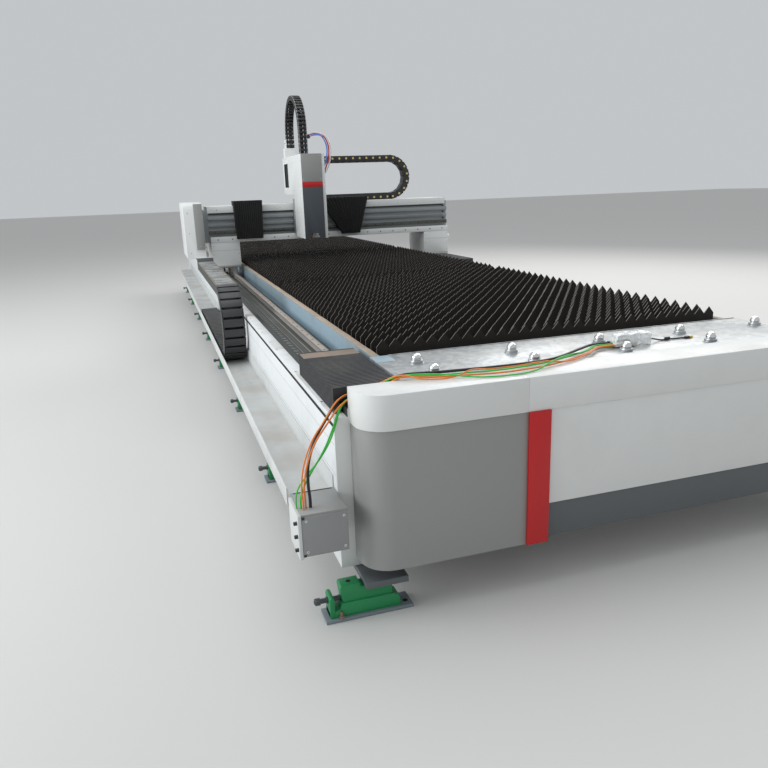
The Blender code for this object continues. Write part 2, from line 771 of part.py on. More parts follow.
def slat_pallets(carrier):
    """Lift-out pallets: a tube frame and the slats welded into it."""
    outer = TABLE_HALF_WIDTH - SEAT
    low = PALLET_BASE + SEAT
    high = PALLET_BASE + PALLET_TUBE_HEIGHT
    pitch = PALLET_LENGTH / SLATS_PER_PALLET
    for number, name in enumerate(("front", "middle", "rear")):
        start = TABLE_FRONT + PALLET_LENGTH * number + SEAT
        end = start + PALLET_LENGTH - 2 * SEAT
        inner = outer - PALLET_TUBE
        ring = [(-outer, start), (outer, start), (outer, end), (-outer, end)]
        hole = [(-inner, start + PALLET_TUBE), (inner, start + PALLET_TUBE),
                (inner, end - PALLET_TUBE), (-inner, end - PALLET_TUBE)]
        frame = profile("slat_pallet_" + name, [ring, hole], "Z", low, high, SLAT_STEEL, carrier)
        slats = []
        for index in range(SLATS_PER_PALLET):
            y = TABLE_FRONT + PALLET_LENGTH * number + pitch * (index + 0.5)
            slats.append(profile("slat", [slat_outline(outer - 0.001)], "Y",
                                 y - SLAT_THICKNESS / 2, y + SLAT_THICKNESS / 2, SLAT_STEEL, carrier))
        fuse(frame, slats)


def ball_plate(carrier):
    """Galvanised plate with turned-down sides and its ball transfer units."""
    outer = BEAM_INNER - SEAT
    flange = outer - PLATE_THICKNESS
    low = BEAM_TOP - 0.04
    shape = [
        (-outer, low), (-flange, low), (-flange, PLATE_TOP - PLATE_THICKNESS),
        (flange, PLATE_TOP - PLATE_THICKNESS), (flange, low), (outer, low),
        (outer, PLATE_TOP), (-outer, PLATE_TOP),
    ]
    plate = profile("ball_transfer_plate", [shape], "Y", COVER_BACK + SEAT, TABLE_FRONT - SEAT,
                    GALVANISED, carrier)
    left = -BEAM_INNER + BALL_LEFT_INSET
    pitch = (BEAM_INNER - BALL_RIGHT_INSET - left) / (BALL_COLUMNS - 1)
    units = []
    for row in range(2):
        y = BALL_FRONT_ROW + row * BALL_ROW_GAP
        for column in range(BALL_COLUMNS):
            x = left + pitch * column
            units.append(rod("cup", (x, y, PLATE_TOP - 0.002), (x, y, PLATE_TOP + CUP_HEIGHT),
                             CUP_RADIUS, 8, GALVANISED, carrier))
            bm = bmesh.new()
            bmesh.ops.create_uvsphere(bm, u_segments=8, v_segments=4, radius=BALL_RADIUS)
            units.append(add_object("ball", mesh_from(bm, "ball"), GALVANISED, carrier,
                                    (x, y, PLATE_TOP + BALL_RISE)))
    fuse(plate, units)


def front_path(inset, left, right):
    """The cover's run seen from above, from its left edge to its right edge."""
    radius = COVER_CORNER - inset
    half = COVER_HALF - inset
    front = FRONT + inset
    points = []
    if left is None:
        points.append((-half, COVER_BACK))
        points += corner((-half + radius, front + radius), radius, 180, 270)
    else:
        points.append((left, front))
    if right is None:
        points += corner((half - radius, front + radius), radius, 270, 360)
        points.append((half, COVER_BACK))
    else:
        points.append((right, front))
    return points


def front_covers(carrier):
    """Folded covers of the front end: caps above, panels tucked behind them, skirt below."""
    lap = CAP_BOTTOM + PANEL_LAP
    tuck = SHEET + SEAT
    seam = CAP_SEAM_X
    middle = seam + STRIPE_WIDTH / 2
    wrapped_sheet("front_cap_left", front_path(0.0, None, seam - SEAT / 2), CAP_BOTTOM, CAP_TOP,
                  [(seam - SEAT / 2, COVER_BACK)], WHITE, carrier)
    wrapped_sheet("front_cap_right", front_path(0.0, seam + SEAT / 2, None), CAP_BOTTOM, CAP_TOP,
                  [(seam + SEAT / 2, COVER_BACK)], WHITE, carrier)
    wrapped_sheet("front_corner_panel", front_path(tuck, None, middle - SEAT / 2),
                  CORNER_PANEL_BOTTOM, lap, None, LIGHT_GREY, carrier)
    wrapped_sheet("front_panel", front_path(tuck, middle + SEAT / 2, None),
                  FRONT_PANEL_BOTTOM, lap, None, WHITE, carrier)
    wrapped_sheet("front_skirt", front_path(2 * tuck, middle + SEAT / 2, None),
                  SKIRT_BOTTOM, FRONT_PANEL_BOTTOM + PANEL_LAP, None, DARK_GREY, carrier)
    block("red_stripe", (seam, seam + STRIPE_WIDTH), (-LENGTH / 2, FRONT + tuck - SEAT),
          (CORNER_PANEL_BOTTOM, CAP_BOTTOM - SEAT), RED, carrier)


def rear_cover(carrier):
    radius = COVER_CORNER
    path = [(COVER_HALF, COVER_INNER_REAR)]
    path += corner((COVER_HALF - radius, REAR - radius), radius, 0, 90)
    path += corner((-COVER_HALF + radius, REAR - radius), radius, 90, 180)
    path.append((-COVER_HALF, COVER_INNER_REAR))
    wrapped_sheet("rear_cover", path, CORNER_PANEL_BOTTOM, CAP_TOP, [], WHITE, carrier)


def cable_tray(carrier):
    """Folded tray on the left beam, with the clamp that holds the chain's fixed end."""
    back = BEAM_OUTER + SEAT
    shape = [
        (TRAY_OUTER, TRAY_FLOOR), (TRAY_OUTER, TRAY_LIP), (TRAY_OUTER - TRAY_SHEET, TRAY_LIP),
        (TRAY_OUTER - TRAY_SHEET, TRAY_TOP), (back + TRAY_SHEET, TRAY_TOP),
        (back + TRAY_SHEET, TRAY_BACK), (back, TRAY_BACK), (back, TRAY_FLOOR),
    ]
    tray = profile("cable_tray", [mirrored(shape)], "Y", TRAY_FRONT, TRAY_REAR, WHITE, carrier)
    clamp = block("clamp", (-CHAIN_OUTER, -CHAIN_INNER), (CHAIN_FIXED_Y + SEAT, CHAIN_FIXED_Y + 0.02),
                  (TRAY_TOP - 0.001, CHAIN_LOW + CHAIN_LINK_HEIGHT), WHITE, carrier)
    fuse(tray, [clamp])
    open_box("tray_end_box", (-TRAY_OUTER, -back), (TRAY_FRONT - SEAT - END_BOX_LENGTH, TRAY_FRONT - SEAT),
             (END_BOX_BOTTOM, END_BOX_TOP), (0, 1, 0), TRAY_SHEET, LIGHT_GREY, carrier)


def long_chain(bed, gantry, lower_bend, upper_bend):
    """Drag chain from the tray up to the gantry: two runs and the two halves of its bend."""
    width = (-CHAIN_OUTER, -CHAIN_INNER)
    height = CHAIN_LINK_HEIGHT
    bend = CHAIN_BEND_Y
    straight_links("drag_chain_lower_run", "X", bend + SEAT, CHAIN_FIXED_Y, CHAIN_MIDDLE - CHAIN_RADIUS,
                   height, CHAIN_PITCH, width, BLACK, bed)
    straight_links("drag_chain_upper_run", "X", bend + SEAT, CHAIN_MOVING_Y, CHAIN_MIDDLE + CHAIN_RADIUS,
                   height, CHAIN_PITCH, width, BLACK, gantry)
    gap = math.degrees(SEAT / CHAIN_RADIUS)
    bend_links("drag_chain_lower_bend", "X", (bend, CHAIN_MIDDLE), CHAIN_RADIUS, height,
               (270, 180 + gap), width, BLACK, lower_bend)
    bend_links("drag_chain_upper_bend", "X", (bend, CHAIN_MIDDLE), CHAIN_RADIUS, height,
               (180 - gap, 90), width, BLACK, upper_bend)


def drive_unit(side, name, carrier):
    """Saddle plate with its bearing blocks on the rail and the vertical drive motor."""
    near, far = BEAM_INNER, BEAM_OUTER
    x = sorted((side * near, side * far))
    saddle = block(name, x, (GANTRY_FRONT, GANTRY_BACK), (SADDLE_BOTTOM, SADDLE_TOP), STEEL, carrier)
    half = BLOCK_WIDTH / 2
    slot = RAIL_WIDTH / 2 + RAIL_PLAY
    low = BEAM_TOP + 0.007
    middle = side * RAIL_X
    shape = [
        (middle - half, low), (middle - slot, low), (middle - slot, RAIL_TOP + RAIL_PLAY),
        (middle + slot, RAIL_TOP + RAIL_PLAY), (middle + slot, low), (middle + half, low),
        (middle + half, SADDLE_BOTTOM + 0.002), (middle - half, SADDLE_BOTTOM + 0.002),
    ]
    inset = 0.015
    pieces = []
    for start in (GANTRY_FRONT + inset, GANTRY_BACK - inset - BLOCK_LENGTH):
        pieces.append(profile("bearing_block", [shape], "Y", start, start + BLOCK_LENGTH, STEEL, carrier))
    centre = (side * PINION_X, GANTRY_MIDDLE)
    pieces.append(rod("motor", (*centre, SADDLE_TOP - 0.002), (*centre, SADDLE_TOP + MOTOR_HEIGHT),
                      MOTOR_RADIUS, 12, STEEL, carrier))
    return fuse(saddle, pieces)


def gear_outline(teeth, root, tip):
    """Trapezoid teeth round a pinion."""
    points = []
    for tooth in range(teeth):
        for share, radius in ((0.0, root), (0.36, root), (0.52, tip), (0.84, tip)):
            angle = 2 * math.pi * (tooth + share) / teeth
            points.append((radius * math.cos(angle), radius * math.sin(angle)))
    return points


def pinion(side, name, carrier):
    """Drive pinion on its shaft, in mesh with the rack strip."""
    outline = gear_outline(PINION_TEETH, PINION_RADIUS - PINION_ADDENDUM, PINION_TIP)
    low = BEAM_TOP + 0.009
    gear = profile(name, [outline], "Z", low, low + PINION_HEIGHT, STEEL, carrier)
    gear.location = (0.0, 0.0, low + PINION_HEIGHT / 2 - CARRIER_ORIGIN[carrier.name].z)
    top = SADDLE_BOTTOM - SEAT
    shaft = rod("shaft", (side * PINION_X, GANTRY_MIDDLE, low + PINION_HEIGHT - 0.002),
                (side * PINION_X, GANTRY_MIDDLE, top), PINION_SHAFT, 8, STEEL, carrier)
    return fuse(gear, [shaft])


def gantry_feet(carrier):
    """White boxes over the drive units, which carry the girder. The right one has a stub."""
    y = (GANTRY_FRONT, GANTRY_BACK)
    z = (SADDLE_TOP + SEAT, FOOT_BOX_TOP)
    open_box("gantry_foot_left", (-BEAM_OUTER, -BEAM_INNER), y, z, (0, 0, -1), FOOT_BOX_WALL,
             WHITE, carrier)
    right = open_box("gantry_foot_right", (BEAM_INNER, BEAM_OUTER), y, z, (0, 0, -1), FOOT_BOX_WALL,
                     WHITE, carrier)
    height = FOOT_BOX_TOP - 0.06
    stub = rod("stub", (BEAM_OUTER - FOOT_BOX_WALL / 2, GANTRY_FRONT + 0.10, height),
               (BEAM_OUTER + STUB_LENGTH, GANTRY_FRONT + 0.10, height), STUB_RADIUS, 12, WHITE, carrier)
    fuse(right, [stub])


def girder_outline():
    """Girder section with the two guide rails and the rack on its front face."""
    face, proud = GIRDER_FRONT, GIRDER_FRONT - GIRDER_RAIL_DEPTH
    half = GIRDER_RAIL_WIDTH / 2
    points = [(face, GIRDER_TOP), (face, GIRDER_RAIL_HIGH + half), (proud, GIRDER_RAIL_HIGH + half),
              (proud, GIRDER_RAIL_HIGH - half), (face, GIRDER_RAIL_HIGH - half)]
    rack = half * 0.8
    points += [(face, GIRDER_RACK_Z + rack), (face - 0.015, GIRDER_RACK_Z + rack),
               (face - 0.015, GIRDER_RACK_Z - rack), (face, GIRDER_RACK_Z - rack)]
    points += [(face, GIRDER_RAIL_LOW + half), (proud, GIRDER_RAIL_LOW + half),
               (proud, GIRDER_RAIL_LOW - half), (face, GIRDER_RAIL_LOW - half)]
    points += [(face, GIRDER_BOTTOM), (GIRDER_BACK, GIRDER_BOTTOM), (GIRDER_BACK, GIRDER_TOP)]
    return points


def girder(carrier):
    """Hollow girder with its end plate, the top cover over it and the lip below its rails."""
    wall = GIRDER_WALL
    hollow = [(GIRDER_FRONT + wall, GIRDER_BOTTOM + wall), (GIRDER_BACK - wall, GIRDER_BOTTOM + wall),
              (GIRDER_BACK - wall, GIRDER_TOP - wall), (GIRDER_FRONT + wall, GIRDER_TOP - wall)]
    beam = profile("gantry_girder", [girder_outline(), hollow], "X", GIRDER_LEFT, GIRDER_RIGHT,
                   BEAM_GREY, carrier)
    plate = block("end_plate", (-COLUMN_INNER + SEAT, GIRDER_LEFT + 0.001),
                  (GIRDER_FRONT + 0.002, GIRDER_BACK - 0.002),
                  (GIRDER_BOTTOM + 0.002, GIRDER_TOP - 0.002), BEAM_GREY, carrier)
    fuse(beam, [plate])
    lip = [(GIRDER_FRONT - SEAT, LIP_TOP), (GIRDER_FRONT - SEAT - LIP_DEPTH, LIP_TOP),
           (GIRDER_FRONT - SEAT - LIP_DEPTH, GIRDER_BOTTOM), (GIRDER_FRONT - SEAT, GIRDER_BOTTOM)]
    profile("girder_lower_lip", [lip], "X", -BEAM_OUTER, BEAM_OUTER, WHITE, carrier)
    front = GIRDER_FRONT - SEAT - LIP_DEPTH
    back = GIRDER_BACK + SEAT
    under = TOP_COVER_TOP - SHEET
    cover = [(front, TOP_COVER_SKIRT), (front + SHEET, TOP_COVER_SKIRT), (front + SHEET, under),
             (back, under), (back, TOP_COVER_SKIRT), (back + SHEET, TOP_COVER_SKIRT),
             (back + SHEET, TOP_COVER_TOP), (front, TOP_COVER_TOP)]
    profile("girder_top_cover", [cover], "X", GIRDER_LEFT, GIRDER_RIGHT - 0.02, WHITE, carrier)


def column(carrier):
    """Cover at the gantry's left end, with a rounded top, a front rib and the chain's arm."""
    back = COLUMN_FRONT + COLUMN_DEPTH
    shape = [(COLUMN_FRONT, COLUMN_BOTTOM), (back, COLUMN_BOTTOM)]
    shape += corner((back - COLUMN_ROUND, COLUMN_TOP - COLUMN_ROUND), COLUMN_ROUND, 0, 90, 4)
    shape += corner((COLUMN_FRONT + COLUMN_ROUND, COLUMN_TOP - COLUMN_ROUND), COLUMN_ROUND, 90, 180, 4)
    body = profile("gantry_column_left", [shape], "X", -COLUMN_OUTER, -COLUMN_INNER, WHITE, carrier)
    rib = block("rib", (-COLUMN_INNER - COLUMN_RIB_WIDTH, -COLUMN_INNER - 0.002),
                (COLUMN_FRONT - COLUMN_RIB_PROUD, COLUMN_FRONT + 0.002),
                (COLUMN_RIB_BOTTOM, COLUMN_TOP - 0.01), WHITE, carrier)
    start = CHAIN_MOVING_Y + SEAT
    arm = [(start, CHAIN_HIGH - CHAIN_LINK_HEIGHT), (start + 0.01, CHAIN_HIGH - CHAIN_LINK_HEIGHT),
           (start + 0.01, COLUMN_BOTTOM - 0.01), (COLUMN_FRONT + 0.06, COLUMN_BOTTOM - 0.01),
           (COLUMN_FRONT + 0.06, COLUMN_BOTTOM + 0.002), (start, COLUMN_BOTTOM + 0.002)]
    bracket = profile("chain_bracket", [arm], "X", -CHAIN_OUTER, -CHAIN_INNER, STEEL, carrier)
    fuse(body, [rib, bracket])


def rail_stack_section(side):
    """Upside-down U over the rail and the rack, as points with their outward folds."""
    low = BEAM_TOP + SEAT
    inside_top = low + RAIL_STACK_HEADROOM
    outer, inner, wall = RAIL_STACK_OUTER, RAIL_STACK_INNER, RAIL_STACK_WALL
    section = [
        ((outer - FOLD_DEPTH, low), (1, 0)), ((outer - FOLD_DEPTH, RAIL_STACK_TOP - FOLD_DEPTH), (1, 1)),
        ((inner, RAIL_STACK_TOP - FOLD_DEPTH), (0, 1)), ((inner, low), (0, 0)),
        ((inner + wall, low), (0, 0)), ((inner + wall, inside_top), (0, 0)),
        ((outer - FOLD_DEPTH - wall, inside_top), (0, 0)), ((outer - FOLD_DEPTH - wall, low), (0, 0)),
    ]
    if side > 0:
        return section
    return [((-across, up), (-out, rise)) for (across, up), (out, rise) in section]


def rail_stacks(bed, gantry):
    """Bellows over the rails: one parked at the front left, one at the gantry's right foot."""
    runs = (("rail_bellows_left", -1, LEFT_STACK_FRONT, LEFT_STACK_REAR, bed),
            ("rail_bellows_right", 1, RIGHT_STACK_FRONT, GANTRY_FRONT - SEAT, gantry))
    for name, side, start, end, carrier in runs:
        folds = 2 * round((end - start) / FOLD_PITCH)
        step = (end - start) / folds
        stations = []
        for index in range(folds + 1):
            y = start + step * index
            stations.append(lambda across, up, y=y: (across, y, up))
        bellows(name, rail_stack_section(side), stations, BLACK, carrier)


def hanging_stacks(carrier):
    """Bellows that hang over the girder's front edge, on both sides of the head."""
    inside_top = TOP_COVER_TOP + SEAT
    wall = HANGING_WALL_Y
    section = [
        ((HANGING_FRONT + FOLD_DEPTH, HANGING_BOTTOM), (-1, 0)),
        ((HANGING_FRONT + FOLD_DEPTH, HANGING_TOP - FOLD_DEPTH), (-1, 1)),
        ((HANGING_BACK, HANGING_TOP - FOLD_DEPTH), (0, 1)), ((HANGING_BACK, inside_top), (0, 0)),
        ((wall, inside_top), (0, 0)), ((wall, HANGING_BOTTOM), (0, 0)),
    ]
    height = HANGING_TOP - HANGING_BOTTOM
    runs = (("hanging_bellows_left", LEFT_HANGING_BOTTOM, LEFT_HANGING_TOP),
            ("hanging_bellows_right", RIGHT_HANGING_BOTTOM, RIGHT_HANGING_TOP))
    for name, bottom, top in runs:
        stations = []
        for index in range(2 * HANGING_FOLDS + 1):
            share = index / (2 * HANGING_FOLDS)
            low = bottom[0] + (bottom[1] - bottom[0]) * share
            high = top[0] + (top[1] - top[0]) * share
            stations.append(lambda across, up, low=low, high=high: (
                low + (high - low) * (up - HANGING_BOTTOM) / height, across, up))
        bellows(name, section, stations, BLACK, carrier)


def carriage_plate(carrier):
    """Carriage plate with its bearing blocks round the girder's rails and the Z rails in front."""
    front = CARRIAGE_FRONT
    back = front + CARRIAGE_THICKNESS
    reach = GIRDER_FRONT - 0.0015
    rail_face = GIRDER_FRONT - GIRDER_RAIL_DEPTH - RAIL_PLAY
    half = GIRDER_RAIL_WIDTH / 2 + RAIL_PLAY
    shape = [(front, GIRDER_RAIL_LOW - CARRIAGE_BLOCK / 2)]
    for middle in (GIRDER_RAIL_LOW, GIRDER_RAIL_HIGH):
        low, high = middle - CARRIAGE_BLOCK / 2, middle + CARRIAGE_BLOCK / 2
        if middle == GIRDER_RAIL_HIGH:
            shape.append((back, low))
        shape += [(reach, low), (reach, middle - half), (rail_face, middle - half),
                  (rail_face, middle + half), (reach, middle + half), (reach, high), (back, high)]
    shape += [(back, CARRIAGE_TOP), (front, CARRIAGE_TOP)]
    plate = profile("carriage_plate", [shape], "X", CARRIAGE_LEFT, CARRIAGE_RIGHT, STEEL, carrier)
    rails = []
    for x in (HEAD_LEFT + 0.03, HEAD_RIGHT - 0.03 - Z_RAIL_WIDTH):
        rails.append(block("z_rail", (x, x + Z_RAIL_WIDTH), (Z_PLATE_BACK + SEAT, front + 0.001),
                           (GIRDER_RAIL_LOW, CARRIAGE_TOP - 0.002), STEEL, carrier))
    return fuse(plate, rails)


def head_housing(carrier):
    """Folded white housing: open in front, below and towards the carriage plate."""
    side = [(HEAD_FRONT, HEAD_BOTTOM), (HEAD_BACK, HEAD_BOTTOM), (HEAD_BACK, HEAD_STEP),
            (HEAD_OVERHANG, HEAD_STEP), (HEAD_OVERHANG, HEAD_TOP), (HEAD_FRONT, HEAD_TOP)]
    bm = bmesh.new()
    left = [bm.verts.new((HEAD_LEFT, y, z)) for y, z in side]
    right = [bm.verts.new((HEAD_RIGHT, y, z)) for y, z in side]
    bm.faces.new(left[::-1])
    bm.faces.new(right)
    for index in (2, 3, 4):
        bm.faces.new((left[index], left[index + 1], right[index + 1], right[index]))
    strip = HEAD_RIGHT - HEAD_STRIP
    strip_low = bm.verts.new((strip, HEAD_FRONT, HEAD_BOTTOM))
    strip_high = bm.verts.new((strip, HEAD_FRONT, HEAD_TOP))
    top_edge = bm.edges.get((left[5], right[5]))
    bmesh.ops.delete(bm, geom=[top_edge.link_faces[0]], context="FACES_ONLY")
    bm.faces.new((left[4], left[5], strip_high, right[5], right[4]))
    bm.faces.new((right[0], right[5], strip_high, strip_low))
    bm.normal_update()
    bmesh.ops.translate(bm, verts=bm.verts, vec=-CARRIER_ORIGIN[carrier.name])
    housing = sheet("head_housing", bm, SHEET, WHITE, carrier)
    housing.location = (0.0, 0.0, 0.0)
    bracket = block("bracket", (HEAD_LEFT + 0.001, ARCH_X + ARCH_WIDTH / 2),
                    (ARCH_BACK - 0.04, ARCH_BACK + 0.04), (HEAD_TOP - 0.001, ARCH_BRACKET_TOP),
                    WHITE, carrier)
    fuse(housing, [bracket])
    half_width, half_depth = ARCH_WIDTH / 2 + 0.004, ARCH_HEIGHT / 2 + 0.004
    cut(housing, (HEAD_LEFT - 0.01, HEAD_LEFT + 0.01), (SLOT_FRONT, SLOT_BACK), (SLOT_BOTTOM, SLOT_TOP))
    cut(housing, (ARCH_X - half_width, ARCH_X + half_width),
        (ARCH_FRONT - half_depth, ARCH_FRONT + half_depth), (HEAD_TOP - 0.01, HEAD_TOP + 0.01))


def head_panels(carrier):
    """Front panels of the head: grey above, dark grey below with its notch."""
    x = (HEAD_LEFT, PANEL_RIGHT)
    y = (HEAD_FRONT - SEAT - HEAD_PANEL_THICKNESS, HEAD_FRONT - SEAT)
    block("head_upper_panel", x, y, (HEAD_PANEL_JOINT + SEAT, HEAD_TOP), LIGHT_GREY, carrier)
    shape = [(x[0], HEAD_BOTTOM), (NOTCH_LEFT, HEAD_BOTTOM), (NOTCH_LEFT + NOTCH_TAPER, NOTCH_TOP),
             (NOTCH_RIGHT - NOTCH_TAPER, NOTCH_TOP), (NOTCH_RIGHT, HEAD_BOTTOM), (x[1], HEAD_BOTTOM),
             (x[1], HEAD_PANEL_JOINT), (x[0], HEAD_PANEL_JOINT)]
    profile("head_lower_panel", [shape], "Y", y[0], y[1], DARK_GREY, carrier)


def arch_chain(carrier):
    """Chain that rises behind the head, arches over it and drops through its top."""
    radius = (ARCH_BACK - ARCH_FRONT) / 2
    centre = (ARCH_FRONT + ARCH_BACK) / 2
    start = ARCH_BRACKET_TOP + SEAT
    rise = ARCH_SPRING - start
    bend = math.pi * radius
    end = Z_PLATE_TOP + SEAT
    length = rise + bend + ARCH_SPRING - end

    def place(along, out):
        if along <= rise:
            return ARCH_BACK + out, start + along
        if along >= rise + bend:
            return ARCH_FRONT - out, ARCH_SPRING - (along - rise - bend)
        angle = (along - rise) / radius
        reach = radius + out
        return centre + reach * math.cos(angle), ARCH_SPRING + reach * math.sin(angle)

    outline = link_outline(length, ARCH_PITCH, ARCH_HEIGHT / 2, place)
    profile("head_chain", [outline], "X", ARCH_X - ARCH_WIDTH / 2, ARCH_X + ARCH_WIDTH / 2,
            BLACK, carrier)


def head_hoses(carrier):
    """Three hoses that loop from the arched chain to the head's right side, with their blocks."""
    y = ARCH_FRONT
    start_x = ARCH_X + ARCH_WIDTH / 2 + SEAT
    end_x = HEAD_RIGHT + SEAT
    span = HOSE_GAP + 2 * HOSE_RADIUS
    upper = block("head_hoses", (start_x, start_x + HOSE_BLOCK), (y - span, y + span),
                  HOSE_BLOCK_TOP, BLACK, carrier)
    lower = block("lower_block", (end_x, end_x + HOSE_BLOCK), (y - span, y + span),
                  HOSE_BLOCK_LOW, BLACK, carrier)
    pieces = [lower]
    for shift in (-HOSE_GAP, 0.0, HOSE_GAP):
        bulge = 0.02 * shift / HOSE_GAP
        route = [(start_x + 0.01, y + shift, 1.79), (-0.200, y + shift, 1.812 + bulge / 2),
                 (-0.125 + bulge, y + shift, 1.790), (-0.088 + bulge, y + shift, 1.710),
                 (-0.095 + bulge, y + shift, 1.610), (-0.125 + bulge, y + shift, 1.530),
                 (end_x + 0.01, y + shift, 1.465)]
        tube = cord("hose", route, HOSE_RADIUS, BLACK, carrier, 11)
        mesh = evaluated_mesh(tube, "hose")
        bpy.data.objects.remove(tube)
        hose = add_object("hose", mesh, BLACK, carrier)
        hose.location = (0.0, 0.0, 0.0)
        pieces.append(hose)
    fuse(upper, pieces)


def top_chain(gantry, carriage, lower_bend, upper_bend):
    """Drag chain that lies on the girder and turns over to the back of the head."""
    width = (TOP_CHAIN_Y - TOP_CHAIN_WIDTH / 2, TOP_CHAIN_Y + TOP_CHAIN_WIDTH / 2)
    bend = TOP_CHAIN_BEND_X
    middle = TOP_CHAIN_MIDDLE
    radius = TOP_CHAIN_RADIUS
    straight_links("top_chain_lower_run", "Y", TOP_CHAIN_FIXED_X, bend - SEAT, middle - radius,
                   TOP_CHAIN_LINK, TOP_CHAIN_PITCH, width, BLACK, gantry)
    straight_links("top_chain_upper_run", "Y", HEAD_RIGHT + SEAT, bend - SEAT, middle + radius,
                   TOP_CHAIN_LINK, TOP_CHAIN_PITCH, width, BLACK, carriage)
    gap = math.degrees(SEAT / radius)
    bend_links("top_chain_lower_bend", "Y", (bend, middle), radius, TOP_CHAIN_LINK,
               (-90, -gap), width, BLACK, lower_bend)
    bend_links("top_chain_upper_bend", "Y", (bend, middle), radius, TOP_CHAIN_LINK,
               (gap, 90), width, BLACK, upper_bend)


def cutting_head(carrier):
    """Z slide plate with the torch bracket and the chain arm, the torch and its copper nozzle."""
    back = Z_PLATE_BACK
    front = back - Z_PLATE_THICKNESS
    plate = block("z_slide_plate", (HEAD_LEFT + 0.012, HEAD_RIGHT - 0.012), (front, back),
                  (Z_PLATE_BOTTOM, Z_PLATE_TOP - 0.004), STEEL, carrier)
    hold = TORCH_Y + TORCH_RADIUS + SEAT
    half = TORCH_BRACKET_WIDTH / 2
    bracket = block("bracket", (TORCH_X - half, TORCH_X + half), (hold, front + 0.001),
                    (Z_PLATE_BOTTOM + 0.03, Z_PLATE_BOTTOM + 0.03 + TORCH_BRACKET_HEIGHT), STEEL, carrier)
    arm = block("arm", (ARCH_X - ARCH_WIDTH / 2, ARCH_X + ARCH_WIDTH / 2),
                (ARCH_FRONT - ARCH_HEIGHT / 2, back - 0.002), (Z_PLATE_TOP - 0.016, Z_PLATE_TOP),
                STEEL, carrier)
    fuse(plate, [bracket, arm])
    radius = TORCH_RADIUS
    turned("laser_torch", [(0.0, TORCH_TOP), (0.026, TORCH_TOP), (0.026, TORCH_TOP - 0.06),
                           (radius, TORCH_TOP - 0.08), (radius, TORCH_NECK[0]), (0.028, TORCH_NECK[1]),
                           (0.028, TORCH_NECK[2]), (0.02, NOZZLE_TOP + SEAT), (0.0, NOZZLE_TOP + SEAT)],
           TORCH_SIDES, DARK_GREY, carrier, (TORCH_X, TORCH_Y, 0.0))
    turned("cutting_nozzle", [(0.0, NOZZLE_TOP), (NOZZLE_RADIUS, NOZZLE_TOP),
                              (NOZZLE_RADIUS, NOZZLE_TOP - 0.02), (0.004, NOZZLE_TIP), (0.0, NOZZLE_TIP)],
           TORCH_SIDES, COPPER, carrier, (TORCH_X, TORCH_Y, 0.0))


def loose_wires(carrier):
    """Wires that rise from the end box and lie over the cap, up to the wrapped connectors."""
    box = END_BOX_TOP + 2 * SEAT
    lay = CAP_TOP + CABLE_RADIUS + 0.001
    rest = PLATE_TOP + 0.012
    end_x = WRAP_X[0] - 2 * SEAT
    green = [(-1.228, -4.33, box), (-1.229, -4.33, box + 0.03), (-1.240, -4.315, 0.51),
             (-1.190, -4.285, 0.585), (-1.115, -4.268, 0.650), (-1.070, -4.250, 0.712),
             (-1.020, -4.225, 0.750), (-0.900, -4.236, lay + 0.008), (-0.72, -4.262, lay),
             (-0.50, -4.290, lay), (-0.32, -4.262, lay), (-0.14, -4.185, lay),
             (-0.05, -4.112, rest), (0.0, -4.110, rest), (end_x, -4.110, rest)]
    orange = [(-1.213, -4.33, box), (-1.213, -4.33, box + 0.03), (-1.212, -4.335, 0.47),
              (-1.165, -4.305, 0.58), (-1.122, -4.288, 0.668), (-1.085, -4.268, 0.738),
              (-1.020, -4.238, 0.778), (-0.905, -4.264, lay + 0.014), (-0.74, -4.288, lay),
              (-0.52, -4.325, lay), (-0.33, -4.300, lay), (-0.15, -4.215, lay),
              (-0.05, -4.134, rest), (0.0, -4.127, rest), (end_x, -4.127, rest)]
    black = [(-1.198, -4.33, box), (-1.198, -4.33, box + 0.03), (-1.180, -4.318, 0.45),
             (-1.125, -4.295, 0.545), (-1.075, -4.275, 0.630), (-1.058, -4.256, 0.695),
             (-1.020, -4.2165, 0.724), (-0.890, -4.216, lay + 0.001), (-0.70, -4.236, lay + 0.001),
             (-0.48, -4.250, lay), (-0.30, -4.235, lay), (-0.14, -4.150, lay),
             (-0.05, -4.092, rest), (0.0, -4.090, rest), (end_x, -4.090, rest)]
    cord("wire_green", green, WIRE_RADIUS, WIRE_GREEN, carrier)
    cord("wire_orange", orange, WIRE_RADIUS, WIRE_ORANGE, carrier)
    cord("cable_black", black, CABLE_RADIUS, BLACK, carrier)
    block("wrapped_connectors", WRAP_X, WRAP_Y, (PLATE_TOP + SEAT, PLATE_TOP + SEAT + WRAP_HEIGHT),
          WRAP, carrier)


